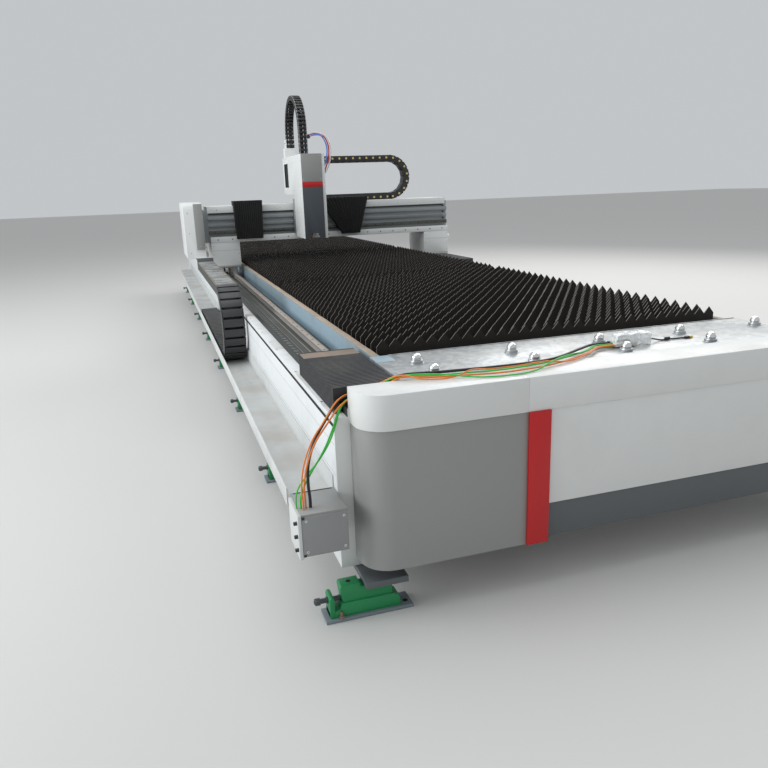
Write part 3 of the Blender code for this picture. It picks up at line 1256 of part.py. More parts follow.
def build():
    """Make the carriers of the moving bodies, then every part on its carrier."""
    bed = add_carrier("machine_bed", None, (0.0, 0.0, 0.0))
    bed.location.x = MACHINE_X
    gantry = add_carrier("gantry_axis", bed, (0.0, GANTRY_MIDDLE, RAIL_TOP))
    carriage = add_carrier("carriage_axis", gantry, (TORCH_X, GIRDER_FRONT, GIRDER_RAIL_LOW))
    z_axis = add_carrier("z_axis", carriage, (TORCH_X, TORCH_Y, Z_PLATE_BOTTOM))
    lower_bend = add_carrier("chain_lower_bend_axis", bed, (-CHAIN_OUTER, CHAIN_BEND_Y, CHAIN_MIDDLE))
    upper_bend = add_carrier("chain_upper_bend_axis", gantry, (-CHAIN_OUTER, CHAIN_BEND_Y, CHAIN_MIDDLE))
    top_lower = add_carrier("top_chain_lower_axis", gantry,
                            (TOP_CHAIN_BEND_X, TOP_CHAIN_Y, TOP_CHAIN_MIDDLE))
    top_upper = add_carrier("top_chain_upper_axis", carriage,
                            (TOP_CHAIN_BEND_X, TOP_CHAIN_Y, TOP_CHAIN_MIDDLE))
    bed_cross_members(bed)
    bed_beams(bed)
    table_sides(bed)
    slat_pallets(bed)
    ball_plate(bed)
    front_covers(bed)
    rear_cover(bed)
    cable_tray(bed)
    long_chain(bed, gantry, lower_bend, upper_bend)
    loose_wires(bed)
    for side, word in ((-1, "left"), (1, "right")):
        drive_unit(side, "drive_unit_" + word, gantry)
        spindle = add_carrier("pinion_axis_" + word, gantry, (side * PINION_X, GANTRY_MIDDLE, BEAM_TOP))
        pinion(side, "drive_pinion_" + word, spindle)
    gantry_feet(gantry)
    girder(gantry)
    column(gantry)
    rail_stacks(bed, gantry)
    carriage_plate(carriage)
    head_housing(carriage)
    head_panels(carriage)
    arch_chain(carriage)
    head_hoses(carriage)
    hanging_stacks(carriage)
    top_chain(gantry, carriage, top_lower, top_upper)
    cutting_head(z_axis)


clear_scene()
PARTS = collection("fiber_laser_cutting_machine")
CUTTERS = collection("cutters")
CARRIER_ORIGIN = {}
build()
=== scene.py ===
# Looks of the fiber laser cutting machine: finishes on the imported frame, the real slats, chains,
# folds and fasteners in place of the plain solids, and the free wires at their real length.
# The file follows the machine as it is put together, from the floor up to the cutting head.
import json
import math
from itertools import product

import bmesh
import bpy
from mathutils import Matrix, Vector, noise

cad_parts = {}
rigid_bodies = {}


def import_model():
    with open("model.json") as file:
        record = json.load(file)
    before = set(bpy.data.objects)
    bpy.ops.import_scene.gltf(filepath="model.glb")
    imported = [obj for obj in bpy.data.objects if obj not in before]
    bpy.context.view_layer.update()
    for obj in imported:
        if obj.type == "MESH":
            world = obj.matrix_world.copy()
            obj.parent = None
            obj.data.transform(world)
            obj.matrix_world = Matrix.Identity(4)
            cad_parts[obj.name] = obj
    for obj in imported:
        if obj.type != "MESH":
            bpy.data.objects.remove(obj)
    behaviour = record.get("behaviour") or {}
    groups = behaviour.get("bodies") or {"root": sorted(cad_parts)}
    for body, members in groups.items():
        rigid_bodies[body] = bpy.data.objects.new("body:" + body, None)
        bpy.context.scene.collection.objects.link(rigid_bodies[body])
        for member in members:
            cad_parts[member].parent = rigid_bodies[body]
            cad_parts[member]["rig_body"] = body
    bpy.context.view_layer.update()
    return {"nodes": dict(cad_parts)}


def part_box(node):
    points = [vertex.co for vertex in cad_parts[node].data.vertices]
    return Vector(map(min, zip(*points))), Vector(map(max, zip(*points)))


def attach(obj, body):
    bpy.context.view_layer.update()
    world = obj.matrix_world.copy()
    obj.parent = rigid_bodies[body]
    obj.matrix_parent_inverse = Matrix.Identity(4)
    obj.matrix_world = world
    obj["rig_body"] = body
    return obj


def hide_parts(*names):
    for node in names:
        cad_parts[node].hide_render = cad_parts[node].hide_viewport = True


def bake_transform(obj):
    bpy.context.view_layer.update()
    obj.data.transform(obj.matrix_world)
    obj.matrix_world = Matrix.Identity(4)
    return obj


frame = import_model()

# Camera at the standing photographer's eye, off the front left corner of the bed.
# Yaw turns it to the right, pitch down, and the horizon leans a little.
camera_place = (-1.5265, -6.33, 1.36)
camera_yaw = math.radians(17.55)
camera_pitch = math.radians(15.49)
camera_roll = math.radians(-2.05)
focal_pixels = 705.8
image_pixels = 768


def linked(name, data):
    """New object in the scene."""
    made = bpy.data.objects.new(name, data)
    bpy.context.scene.collection.objects.link(made)
    return made


look = Vector((math.sin(camera_yaw) * math.cos(camera_pitch),
               math.cos(camera_yaw) * math.cos(camera_pitch), -math.sin(camera_pitch)))
level = Vector((math.cos(camera_yaw), -math.sin(camera_yaw), 0.0))
above = level.cross(look)
right = level * math.cos(camera_roll) + above * math.sin(camera_roll)
upward = above * math.cos(camera_roll) - level * math.sin(camera_roll)
camera_data = bpy.data.cameras.new("camera")
camera_data.lens = focal_pixels / image_pixels * camera_data.sensor_width
camera_data.clip_start = 0.05
camera_data.clip_end = 200.0
camera = linked("camera", camera_data)
turn = Matrix((right, upward, -look)).transposed()
camera.matrix_world = Matrix.Translation(camera_place) @ turn.to_4x4()
bpy.context.scene.camera = camera

# Floor and light: a pale floor, a bright overcast world and three wide soft lamps.
# The window side of the hall is on the machine's right, and the strongest lamp fills from the left.
floor_size = 120.0
floor_tone = (0.62, 0.61, 0.59)
floor_roughness = 0.7
sky_tone = (0.80, 0.83, 0.86)
world_strength = 0.675
node_spacing = 200


def deselect():
    """Leave nothing selected, so that an operator acts on what it makes."""
    for other in bpy.context.selected_objects:
        other.select_set(False)


def set_inputs(made, inputs):
    """Set the values of a node's inputs."""
    for key, value in inputs.items():
        made.inputs[key].default_value = value


def shader(name, inputs):
    """New material and its Principled shader."""
    material = bpy.data.materials.new(name)
    material.use_nodes = True
    principled = material.node_tree.nodes["Principled BSDF"]
    set_inputs(principled, inputs)
    return material, principled


def node(tree, kind, inputs={}, **values):
    """Add a shader node under the others, with its plain values and the values of its inputs."""
    made = tree.nodes.new(kind)
    made.location = (0, -node_spacing * len(tree.nodes))
    for key, value in values.items():
        setattr(made, key, value)
    set_inputs(made, inputs)
    return made


def wired(tree, *links):
    """Link an output of one node to an input of another."""
    for source, output, target, entry in links:
        tree.links.new(source.outputs[output], target.inputs[entry])


deselect()
bpy.ops.mesh.primitive_plane_add(size=floor_size, location=(0.0, 0.0, 0.0))
floor = bpy.context.object
floor.name = "floor"
floor.data.materials.append(
    shader("pale_floor", {"Base Color": (*floor_tone, 1.0), "Roughness": floor_roughness})[0])

world = bpy.data.worlds.new("studio")
bpy.context.scene.world = world
world.use_nodes = True
set_inputs(world.node_tree.nodes["Background"], {"Color": (*sky_tone, 1.0), "Strength": world_strength})
bpy.context.scene.view_settings.view_transform = "Standard"

for name, place, aim, size, power, tone in (
        ("window_side", (6.5, 3.0, 5.5), (0.0, -1.0, 0.6), (9.0, 3.5), 360.0, (1.0, 0.99, 0.96)),
        ("roof_light", (-1.0, -2.0, 7.5), (0.0, -1.5, 0.0), (7.0, 10.0), 260.0, (0.96, 0.98, 1.0)),
        ("left_fill", (-11.0, -2.5, 4.4), (-0.8, -2.8, 0.4), (8.0, 4.5), 720.0, (0.93, 0.97, 1.0))):
    data = bpy.data.lights.new(name, "AREA")
    data.shape = "RECTANGLE"
    data.size, data.size_y = size
    data.energy = power
    data.color = tone
    lamp = linked(name, data)
    lamp.location = place
    lamp.rotation_euler = (Vector(aim) - Vector(place)).to_track_quat("-Z", "Y").to_euler()

# Paint and metal finishes that many parts of the machine share.
# One group ages a surface: floor dust settles on what looks up, and use leaves faint scuffs.
bed_x = (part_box("bed_beam_left")[0].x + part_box("bed_beam_right")[1].x) / 2


def age_group():
    """Node group: a colour with dust on upward faces, scuffs, and a fine bump."""
    tree = bpy.data.node_groups.new("shop_age", "ShaderNodeTree")
    kinds = {True: "NodeSocketFloat", False: "NodeSocketColor"}
    for label, value in (("Color", (0.8, 0.8, 0.8, 1.0)), ("Roughness", 0.4), ("Dust", 0.3),
                         ("Dust Color", (0.42, 0.38, 0.32, 1.0)), ("Scuffs", 0.2), ("Grain", 400.0)):
        socket = tree.interface.new_socket(label, in_out="INPUT", socket_type=kinds[type(value) is float])
        socket.default_value = value
    for label in ("Color", "Roughness", "Height"):
        tree.interface.new_socket(label, in_out="OUTPUT", socket_type=kinds[label != "Color"])
    inside = node(tree, "NodeGroupInput")
    outside = node(tree, "NodeGroupOutput")
    place = node(tree, "ShaderNodeTexCoord")
    facing = node(tree, "ShaderNodeNewGeometry")
    split = node(tree, "ShaderNodeSeparateXYZ")
    upward_face = node(tree, "ShaderNodeMapRange", {"From Min": 0.55, "From Max": 0.95})
    patches = node(tree, "ShaderNodeTexNoise", {"Scale": 5.0, "Detail": 6.0})
    patch_mask = node(tree, "ShaderNodeMapRange", {"From Min": 0.42, "From Max": 0.72})
    settled = node(tree, "ShaderNodeMath", operation="MULTIPLY")
    dusty = node(tree, "ShaderNodeMath", operation="MULTIPLY", use_clamp=True)
    smudge = node(tree, "ShaderNodeTexNoise", {"Scale": 2.3, "Detail": 9.0, "Roughness": 0.65})
    smudge_mask = node(tree, "ShaderNodeMapRange", {"From Min": 0.50, "From Max": 0.78})
    scuffed = node(tree, "ShaderNodeMath", operation="MULTIPLY", use_clamp=True)
    scuff_mix = node(tree, "ShaderNodeMix", {"B": (0.52, 0.50, 0.47, 1.0)}, data_type="RGBA",
                     blend_type="MULTIPLY")
    dust_mix = node(tree, "ShaderNodeMix", data_type="RGBA")
    fine = node(tree, "ShaderNodeTexNoise", {"Detail": 2.0})
    rough_add = node(tree, "ShaderNodeMath", {1: 0.35}, operation="MULTIPLY_ADD", use_clamp=True)
    wired(tree, (place, "Object", patches, "Vector"), (place, "Object", smudge, "Vector"),
          (place, "Object", fine, "Vector"), (inside, "Grain", fine, "Scale"),
          (facing, "Normal", split, "Vector"), (split, "Z", upward_face, "Value"),
          (patches, "Fac", patch_mask, "Value"), (upward_face, "Result", settled, 0),
          (patch_mask, "Result", settled, 1), (settled, "Value", dusty, 0), (inside, "Dust", dusty, 1),
          (smudge, "Fac", smudge_mask, "Value"), (smudge_mask, "Result", scuffed, 0),
          (inside, "Scuffs", scuffed, 1), (scuffed, "Value", scuff_mix, "Factor"),
          (inside, "Color", scuff_mix, "A"), (scuff_mix, "Result", dust_mix, "A"),
          (inside, "Dust Color", dust_mix, "B"), (dusty, "Value", dust_mix, "Factor"),
          (dusty, "Value", rough_add, 0), (inside, "Roughness", rough_add, 2),
          (dust_mix, "Result", outside, "Color"), (rough_add, "Value", outside, "Roughness"),
          (fine, "Fac", outside, "Height"))
    return tree


shop_age = age_group()


def finish(name, tone, roughness, metallic=0.0, dust=0.3, scuffs=0.2, grain=400.0, relief=0.06,
           dust_tone=(0.42, 0.38, 0.32)):
    """Aged material of one colour: paint, plastic or metal by its own values."""
    material, principled = shader(name, {"Metallic": metallic})
    tree = material.node_tree
    aged = node(tree, "ShaderNodeGroup", {
        "Color": (*tone, 1.0), "Roughness": roughness, "Dust": dust, "Dust Color": (*dust_tone, 1.0),
        "Scuffs": scuffs, "Grain": grain}, node_tree=shop_age)
    bump = node(tree, "ShaderNodeBump", {"Strength": relief, "Distance": 0.001})
    wired(tree, (aged, "Height", bump, "Height"), (aged, "Color", principled, "Base Color"),
          (aged, "Roughness", principled, "Roughness"), (bump, "Normal", principled, "Normal"))
    return material


white_paint = finish("white_powder_coat", (0.73, 0.74, 0.725), 0.38, dust=0.35, scuffs=0.16)
dusty_white = finish("dusty_white_coat", (0.74, 0.76, 0.76), 0.45, dust=0.75, scuffs=0.35)
grey_paint = finish("grey_powder_coat", (0.305, 0.31, 0.30), 0.36, dust=0.3, scuffs=0.12)
steel_grey_paint = finish("steel_grey_coat", (0.105, 0.115, 0.120), 0.42, dust=0.25, scuffs=0.15)
dark_paint = finish("dark_grey_coat", (0.065, 0.075, 0.085), 0.42, dust=0.35, scuffs=0.12)
red_paint = finish("red_coat", (0.55, 0.008, 0.010), 0.36, dust=0.2, scuffs=0.10)
blue_paint = finish("light_blue_coat", (0.27, 0.37, 0.43), 0.45, dust=0.55, scuffs=0.6)
black_plastic = finish("black_nylon", (0.022, 0.022, 0.024), 0.45, dust=0.35, scuffs=0.1, relief=0.12)
black_cloth = finish("black_fold_cloth", (0.024, 0.025, 0.028), 0.62, dust=0.25, scuffs=0.1,
                     grain=900.0, relief=0.25)
bare_steel = finish("ground_steel", (0.50, 0.50, 0.49), 0.30, metallic=0.9, dust=0.3, scuffs=0.25)
bright_steel = finish("bright_screw_steel", (0.78, 0.78, 0.77), 0.18, metallic=1.0, dust=0.1, scuffs=0.1)
oiled_steel = finish("oiled_rail_steel", (0.105, 0.112, 0.10), 0.34, metallic=0.8, dust=0.5, scuffs=0.6,
                     dust_tone=(0.11, 0.095, 0.075))
tan_dust = finish("tan_dust_strip", (0.36, 0.29, 0.22), 0.85, dust=0.5, scuffs=0.7, grain=160.0,
                  relief=0.5, dust_tone=(0.47, 0.40, 0.33))
# Near-black for the insides of holes, sockets, slots and gaps: painted shade.
painted_opening_shade = finish("painted_shade_inside", (0.006, 0.006, 0.007), 0.8, dust=0.1, scuffs=0.0)

# Front end cover: folded sheet steel with rounded corners, powder coated. A white cap lies over a grey
# corner panel and a long white panel, with a red stripe between them and a dark skirt set back below.
# The rear cover is coated in the same way.
smooth_angle = 35.0
weld_reach = 0.00002
flat_angle = math.radians(0.6)
bevel_angle = math.radians(40.0)


def alone(piece):
    """Select one piece and make it the active one."""
    deselect()
    piece.select_set(True)
    bpy.context.view_layer.objects.active = piece


def meshed(name, shape, materials=()):
    """New piece of a shape made point by point, alone in the selection."""
    mesh = bpy.data.meshes.new(name)
    shape.to_mesh(mesh)
    shape.free()
    for material in materials:
        mesh.materials.append(material)
    piece = linked(name, mesh)
    alone(piece)
    return piece


def applied(piece, kind, **values):
    """Put a modifier on a piece and apply it."""
    modifier = piece.modifiers.new(kind.lower(), kind)
    for key, value in values.items():
        setattr(modifier, key, value)
    alone(piece)
    bpy.ops.object.modifier_apply(modifier=modifier.name)


def ready(piece, coat, smooth_degrees=smooth_angle):
    """Give a piece its coat, if it has none yet, and smooth faces between its sharp edges."""
    if not piece.data.materials:
        piece.data.materials.append(coat)
    alone(piece)
    bpy.ops.object.shade_smooth_by_angle(angle=math.radians(smooth_degrees))


def fitted(piece, body=None, source=None):
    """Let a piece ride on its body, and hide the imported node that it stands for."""
    if body:
        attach(piece, body)
    if source:
        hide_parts(source)
    return piece


def dressed(source, name, materials, edge=0.0015, rule=None, steps=2):
    """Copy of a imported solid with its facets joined, its edges eased and its faces painted."""
    solid = frame["nodes"][source]
    shape = bmesh.new()
    shape.from_mesh(solid.data)
    bmesh.ops.remove_doubles(shape, verts=shape.verts, dist=weld_reach)
    bmesh.ops.dissolve_limit(shape, angle_limit=flat_angle, verts=shape.verts, edges=shape.edges)
    piece = meshed(name, shape, materials)
    if edge:
        applied(piece, "BEVEL", width=edge, segments=steps, limit_method="ANGLE", angle_limit=bevel_angle,
                use_clamp_overlap=True)
    if rule:
        for face in piece.data.polygons:
            face.material_index = rule(face.center, face.normal)
    ready(piece, None)
    return fitted(piece, solid["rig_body"], source)


for part, paint, slot in (("front_cap_left", white_paint, "white_paint"),
                          ("front_cap_right", white_paint, "white_paint"),
                          ("front_corner_panel", grey_paint, "light_grey_paint"),
                          ("front_panel", white_paint, "white_paint"),
                          ("front_skirt", steel_grey_paint, "dark_grey_paint"),
                          ("red_stripe", red_paint, "red_paint"),
                          ("rear_cover", white_paint, "white_paint")):
    dressed(part, part + "_coated", [paint], edge=0.0012)

# Side beams and their tops: welded box beams in white, with the drive rack, the linear guide rail and
# a bare, oiled strip between them. The left beam faces the camera. Outer strip, rack, rail and inner
# strip are told apart by their distance from the middle.
sides = (("left", -1), ("right", 1))
rack_inner = 1.015
rack_outer = 1.045
rail_reach = 0.014
rail_line = 0.91
rail_foot_z = 0.6605
rack_low_z = 0.6615
rack_top_z = 0.6895
rack_middle_z = 0.6755
tooth_pitch = 0.0126
tooth_height = 0.007
tooth_lean = 0.35


def active(name):
    """Name the object that an operator has just made."""
    made = bpy.context.object
    made.name = name
    made.data.name = name
    return made


def place_in_mesh(piece):
    """Put a piece's place, turn and size into its mesh."""
    alone(piece)
    bpy.ops.object.transform_apply(location=True, rotation=True, scale=True)


def edited(*steps):
    """Run operators of edit mode, each on the whole active piece."""
    bpy.ops.object.mode_set(mode="EDIT")
    for operator, values in steps:
        bpy.ops.mesh.select_all(action="SELECT")
        operator(**values)
    bpy.ops.object.mode_set(mode="OBJECT")


def across(side, inner, outer):
    """Two places in x, at distances from the bed's middle on one side."""
    return bed_x + side * inner, bed_x + side * outer


def bar(x, y, z, edge=0.001, coat=None, name="bar", steps=2):
    """Box between two values of x, of y and of z, with bevelled edges and its coat."""
    spans = [sorted(pair) for pair in (x, y, z)]
    deselect()
    bpy.ops.mesh.primitive_cube_add(size=1.0, location=[(a + b) / 2 for a, b in spans])
    piece = active(name)
    piece.scale = [b - a for a, b in spans]
    place_in_mesh(piece)
    if edge:
        edited((bpy.ops.mesh.bevel, {"offset": edge, "segments": steps, "affect": "EDGES"}))
    if coat:
        ready(piece, coat)
    return piece


def pin(start, step, radius, sides=16, edge=0.0006, coat=None, name="pin"):
    """Round bar from a point along a step, with eased rims and its coat."""
    line = Vector(step)
    deselect()
    bpy.ops.mesh.primitive_cylinder_add(vertices=sides, radius=radius, depth=line.length,
                                        location=Vector(start) + line / 2,
                                        rotation=line.to_track_quat("Z", "Y").to_euler())
    piece = active(name)
    place_in_mesh(piece)
    if edge:
        bpy.ops.object.mode_set(mode="EDIT")
        bpy.ops.mesh.select_mode(type="FACE")
        bpy.ops.mesh.select_all(action="DESELECT")
        bpy.ops.object.mode_set(mode="OBJECT")
        for face in piece.data.polygons:
            face.select = abs(face.normal.dot(line.normalized())) > 0.9
        bpy.ops.object.mode_set(mode="EDIT")
        bpy.ops.mesh.bevel(offset=edge, segments=2, affect="EDGES")
        bpy.ops.object.mode_set(mode="OBJECT")
    if coat:
        ready(piece, coat)
    return piece


def pins(xs, ys, zs, *rest):
    """Like pins at every place of a grid."""
    return [pin(place, *rest) for place in product(xs, ys, zs)]


def joined(name, parts):
    """Join pieces of one part into one object."""
    deselect()
    for part in parts:
        part.select_set(True)
    bpy.context.view_layer.objects.active = parts[0]
    bpy.ops.object.join()
    parts[0].name = name
    parts[0].data.name = name
    return parts[0]


def laid(piece, places):
    """Copies of a piece, each with its own mesh put through a matrix."""
    made = []
    for place in places:
        other = linked(piece.name, piece.data.copy())
        other.data.transform(place)
        made.append(other)
    return made


def row_of(piece, step, count):
    """A piece and its copies at even steps."""
    return [piece] + laid(piece, [Matrix.Translation([s * k for s in step]) for k in range(1, count)])


def beam_finish(centre, normal):
    """White sides and outer strip, dark rack, steel rail and oiled strip on top."""
    across = abs(centre.x - bed_x)
    if centre.z > rail_foot_z + 0.002 or (centre.z > rail_foot_z and normal.z < 0.5):
        return 2 if abs(across - rail_line) < rail_reach else 1
    if centre.z > rail_foot_z - 0.003 and normal.z > 0.5 and across < rack_outer:
        return 1
    return 0


rack_metal = finish("dark_rack_steel", (0.055, 0.06, 0.055), 0.38, metallic=0.75, dust=0.25, scuffs=0.5,
                    dust_tone=(0.12, 0.11, 0.08))
dusty_rail = finish("dusty_guide_rail", (0.40, 0.37, 0.34), 0.45, metallic=0.35, dust=1.0, scuffs=0.6,
                    dust_tone=(0.40, 0.33, 0.28))
for word, side in sides:
    source = "bed_beam_" + word
    dressed(source, source + "_painted", [dusty_white, rack_metal, dusty_rail], edge=0.0015,
            rule=beam_finish)
    low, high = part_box(source)
    strip_z = rail_foot_z - 0.0005
    fitted(joined("beam_top_strips_" + word, [
        bar(across(side, inner, outer), (low.y + 0.02, high.y - 0.02),
            (strip_z, strip_z + thick), 0.0004, coat)
        for inner, outer, thick, coat in (
            (0.926, 1.012, 0.0012, oiled_steel), (0.984, 0.989, 0.0030, bare_steel),
            (0.948, 0.9515, 0.0026, bare_steel), (0.868, 0.894, 0.006, tan_dust))]), "bed")
    tooth = bar((bed_x - 0.001, bed_x + 0.001), (-tooth_pitch / 4, tooth_pitch / 4),
                (rack_low_z, rack_top_z), 0.0, name="drive_rack_teeth_" + word)
    for vertex in tooth.data.vertices:
        inward = vertex.co.x < bed_x
        vertex.co.x = bed_x + side * (rack_inner - tooth_height if inward else rack_inner + 0.001)
        vertex.co.y *= 0.6 if inward else 1.5
        vertex.co.y += (vertex.co.z - rack_middle_z) * tooth_lean
        vertex.co.y += low.y + 0.05
    applied(tooth, "ARRAY", use_relative_offset=False, use_constant_offset=True,
            constant_offset_displace=(0.0, tooth_pitch, 0.0),
            count=int((high.y - low.y - 0.1) / tooth_pitch))
    ready(tooth, rack_metal)
    fitted(tooth, "bed")
    # Dark discs along the guide rail are its screw holes: painted shade.
    rail_screw = pin((bed_x + side * rail_line, low.y + 0.15, rack_top_z), (0, 0, 0.0007), 0.0055, 12, 0.0,
                     painted_opening_shade)
    slotted = bar((-0.0105, 0.0105), (-0.0035, 0.0035), (0.0, 0.0006), 0.0)
    slotted.data.transform(Matrix.Rotation(math.radians(35.0 * side), 4, "Z"))
    slotted.data.transform(Matrix.Translation((bed_x + side * 1.03, low.y + 0.12, 0.6899)))
    ready(slotted, bright_steel)
    strip_screw = pin((bed_x + side * 1.083, low.y + 0.2, 0.660), (0, 0, 0.0022), 0.0048, 12, 0.0008,
                      bright_steel)
    screws = []
    for piece, pitch, count in ((rail_screw, 0.12, 69), (slotted, 0.06, 138), (strip_screw, 0.45, 19)):
        screws += row_of(piece, (0, pitch, 0), count)
    fitted(joined("beam_screws_" + word, screws), "bed")

# Groove cover seam and lower panel lines on the outer side of each beam.
# The side is a plate; under the groove a shallow dark strip is its painted shadow line.
beam_side = 1.0896
for word, side in sides:
    low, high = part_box("bed_beam_" + word)
    fitted(joined("beam_side_seams_" + word, [
        bar(across(side, beam_side, beam_side + 0.0006),
            (low.y + 0.01, high.y - 0.01), (z, z + tall), 0.0, tone)
        for z, tall, tone in ((0.6275, 0.0125, painted_opening_shade), (0.568, 0.0014, grey_paint),
                              (0.462, 0.0012, grey_paint))]), "bed")

# Slat table: laser-cut strips of dark hot-rolled steel with pointed teeth, stood across the bed.
# They sit in three lift-out pallets of welded tube, at the real pitch of slats and teeth.
slat_pitch = 0.0733
slat_tooth = 0.050
slat_thick = 0.0035
slat_tip = 0.7995
slat_root = 0.770
slat_foot = 0.664
slat_half = 0.797
slat_lean = 0.004
slat_shift = 0.0025
tube_inner = 0.749
tube_outer = 0.7995
slat_face = finish("slat_scale_steel", (0.030, 0.025, 0.021), 0.55, metallic=0.35, dust=0.35, scuffs=0.5,
                   grain=120.0, relief=0.3, dust_tone=(0.10, 0.075, 0.055))
slat_rim = finish("slat_cut_edge", (0.27, 0.25, 0.23), 0.40, metallic=0.5, dust=0.4, scuffs=0.6,
                  dust_tone=(0.20, 0.16, 0.12))


def one_slat():
    """Grid of two rows with every other upper point raised, then given its thickness."""
    deselect()
    teeth = int(2 * slat_half / slat_tooth)
    bpy.ops.mesh.primitive_grid_add(x_subdivisions=2 * teeth, y_subdivisions=1, size=2.0,
                                    rotation=(math.radians(90.0), 0.0, 0.0))
    piece = active("slat")
    piece.scale = (slat_half, 1.0, 1.0)
    place_in_mesh(piece)
    for vertex in piece.data.vertices:
        step = round((vertex.co.x + slat_half) / (2 * slat_half) * 2 * teeth)
        if vertex.co.z < 0.0:
            vertex.co.z = slat_foot
        else:
            vertex.co.z = slat_tip if step % 2 else slat_root
        vertex.co.y = 0.0
    piece.data.materials.append(slat_face)
    piece.data.materials.append(slat_rim)
    applied(piece, "SOLIDIFY", thickness=slat_thick, offset=0.0, material_offset_rim=1)
    return piece


for number, word in enumerate(("front", "middle", "rear")):
    low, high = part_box("slat_pallet_" + word)
    count = int((high.y - low.y - 0.02) / slat_pitch)
    start = (low.y + high.y) / 2 - slat_pitch * (count - 1) / 2
    first = one_slat()
    first.data.transform(Matrix.Translation((bed_x, start, 0.0)))
    slats = row_of(first, (0.0, slat_pitch, 0.0), count)
    for index, slat in enumerate(slats):
        lean = slat_lean * noise.noise(Vector((index * 3.7, number * 9.1, 0.0)))
        shift = slat_shift * noise.noise(Vector((index * 5.3, number * 2.7, 4.0)))
        for vertex in slat.data.vertices:
            vertex.co.y += lean * (vertex.co.z - slat_foot) / (slat_tip - slat_foot) * 2
            vertex.co.x += shift * (1 if abs(vertex.co.x - bed_x) < slat_half - 0.01 else 0)
    height = (low.z, low.z + 0.06)
    tubes = [bar(across(side, tube_inner, tube_outer), (low.y, high.y), height, 0.004,
                 slat_face) for side in (-1, 1)]
    tubes += [bar(across(1, -tube_inner, tube_inner), (y, y + 0.05), height, 0.004, slat_face)
              for y in (low.y, high.y - 0.05)]
    fitted(joined("slats_" + word, slats + tubes), "bed", "slat_pallet_" + word)

# Light-blue table sides, pressed steel with the ledge that carries the pallets.
# Their bare top edge is tan with cutting dust and flakes unevenly over the blue paint.
edge_line = 0.7437
crust_z = 0.7448
crust_line = 0.815
crust_half = 0.0155


def side_finish(centre, normal):
    """Tan dust on the rim's top, blue paint below."""
    return 1 if normal.z > 0.5 and centre.z > edge_line else 0


for word, side in sides:
    dressed("table_side_" + word, "table_rim_" + word, [blue_paint, tan_dust], edge=0.0015,
            rule=side_finish)
    low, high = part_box("table_side_" + word)
    deselect()
    bpy.ops.mesh.primitive_grid_add(x_subdivisions=420, y_subdivisions=4, size=2.0)
    crust = active("rim_dust_" + word)
    crust.data.transform(Matrix.Rotation(math.radians(90.0), 4, "Z"))
    half_run = (high.y - low.y) / 2
    for vertex in crust.data.vertices:
        row = vertex.co.x
        vertex.co.y = vertex.co.y * (half_run - 0.002) + (high.y + low.y) / 2
        rough = noise.noise(Vector((vertex.co.y * 9.0, row * 3.0, side * 7.0)))
        fine = noise.noise(Vector((vertex.co.y * 61.0, row * 5.0, side * 3.0)))
        flake = 0.0025 * rough + 0.0015 * fine
        vertex.co.x = bed_x + side * (crust_line + row * crust_half + flake * abs(row))
        vertex.co.z = crust_z + 0.0012 * max(0.0, 0.6 + rough + 0.5 * fine) * (1.0 - abs(row) ** 4)
    applied(crust, "SOLIDIFY", thickness=0.0016, offset=-1.0)
    ready(crust, tan_dust)
    fitted(crust, "bed")

# Ball transfer plate: galvanised sheet behind the cap, with chrome balls in screwed cups.
# Sheets slide in over the balls. Spangle shows on the zinc, and a blue corner meets the rim.
plate_low, plate_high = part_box("ball_transfer_plate")
plate_z = 0.752
ball_radius = 0.019
ball_rise = 0.018
ball_rows = (-4.19, -4.02)
ball_left = bed_x - 0.72
ball_pitch = 0.38
zinc = finish("galvanised_zinc", (0.46, 0.48, 0.49), 0.36, metallic=0.65, dust=0.45, scuffs=0.3,
              grain=60.0, relief=0.03, dust_tone=(0.45, 0.43, 0.40))
tree = zinc.node_tree
spangle_place = node(tree, "ShaderNodeTexCoord")
spangle = node(tree, "ShaderNodeTexVoronoi", {"Scale": 48.0})
split = node(tree, "ShaderNodeSeparateColor")
spangle_tone = node(tree, "ShaderNodeMapRange", {"To Min": 0.80, "To Max": 1.12})
spangle_mix = node(tree, "ShaderNodeMix", {"Factor": 1.0}, data_type="RGBA", blend_type="MULTIPLY")
wired(tree, (spangle_place, "Object", spangle, "Vector"), (spangle, "Color", split, "Color"),
      (split, "Red", spangle_tone, "Value"), (tree.nodes["Group"], "Color", spangle_mix, "A"),
      (spangle_tone, "Result", spangle_mix, "B"),
      (spangle_mix, "Result", tree.nodes["Principled BSDF"], "Base Color"))
run_y = (plate_low.y, plate_high.y)
parts = [bar((plate_low.x, plate_high.x), run_y, (plate_z - 0.006, plate_z), 0.001, zinc)]
parts += [bar(across(side, 0.8497, 0.8437), run_y, (0.6205, plate_z - 0.001), 0.001, zinc)
          for side in (-1, 1)]
parts.append(bar((plate_low.x + 0.002, plate_low.x + 0.075), (plate_high.y - 0.10, plate_high.y),
                 (plate_z - 0.0005, plate_z + 0.0012), 0.0006, blue_paint))
parts.append(bar((plate_low.x + 0.075, plate_high.x - 0.01), (plate_high.y - 0.004, plate_high.y),
                 (plate_z - 0.0005, plate_z + 0.003), 0.0006, zinc))
for y, column in product(ball_rows, range(5)):
    x = ball_left + ball_pitch * column
    parts.append(pin((x, y, plate_z - 0.001), (0, 0, 0.0035), 0.0285, 32, 0.0008, zinc))
    parts.append(pin((x, y, plate_z), (0, 0, 0.012), 0.0235, 32, 0.0025, zinc))
    deselect()
    bpy.ops.mesh.primitive_uv_sphere_add(segments=32, ring_count=18, radius=ball_radius,
                                         location=(x, y, plate_z + ball_rise))
    ball = active("ball")
    place_in_mesh(ball)
    ready(ball, bright_steel, 80.0)
    parts.append(ball)
fitted(joined("ball_transfer_table", parts), "bed", "ball_transfer_plate")

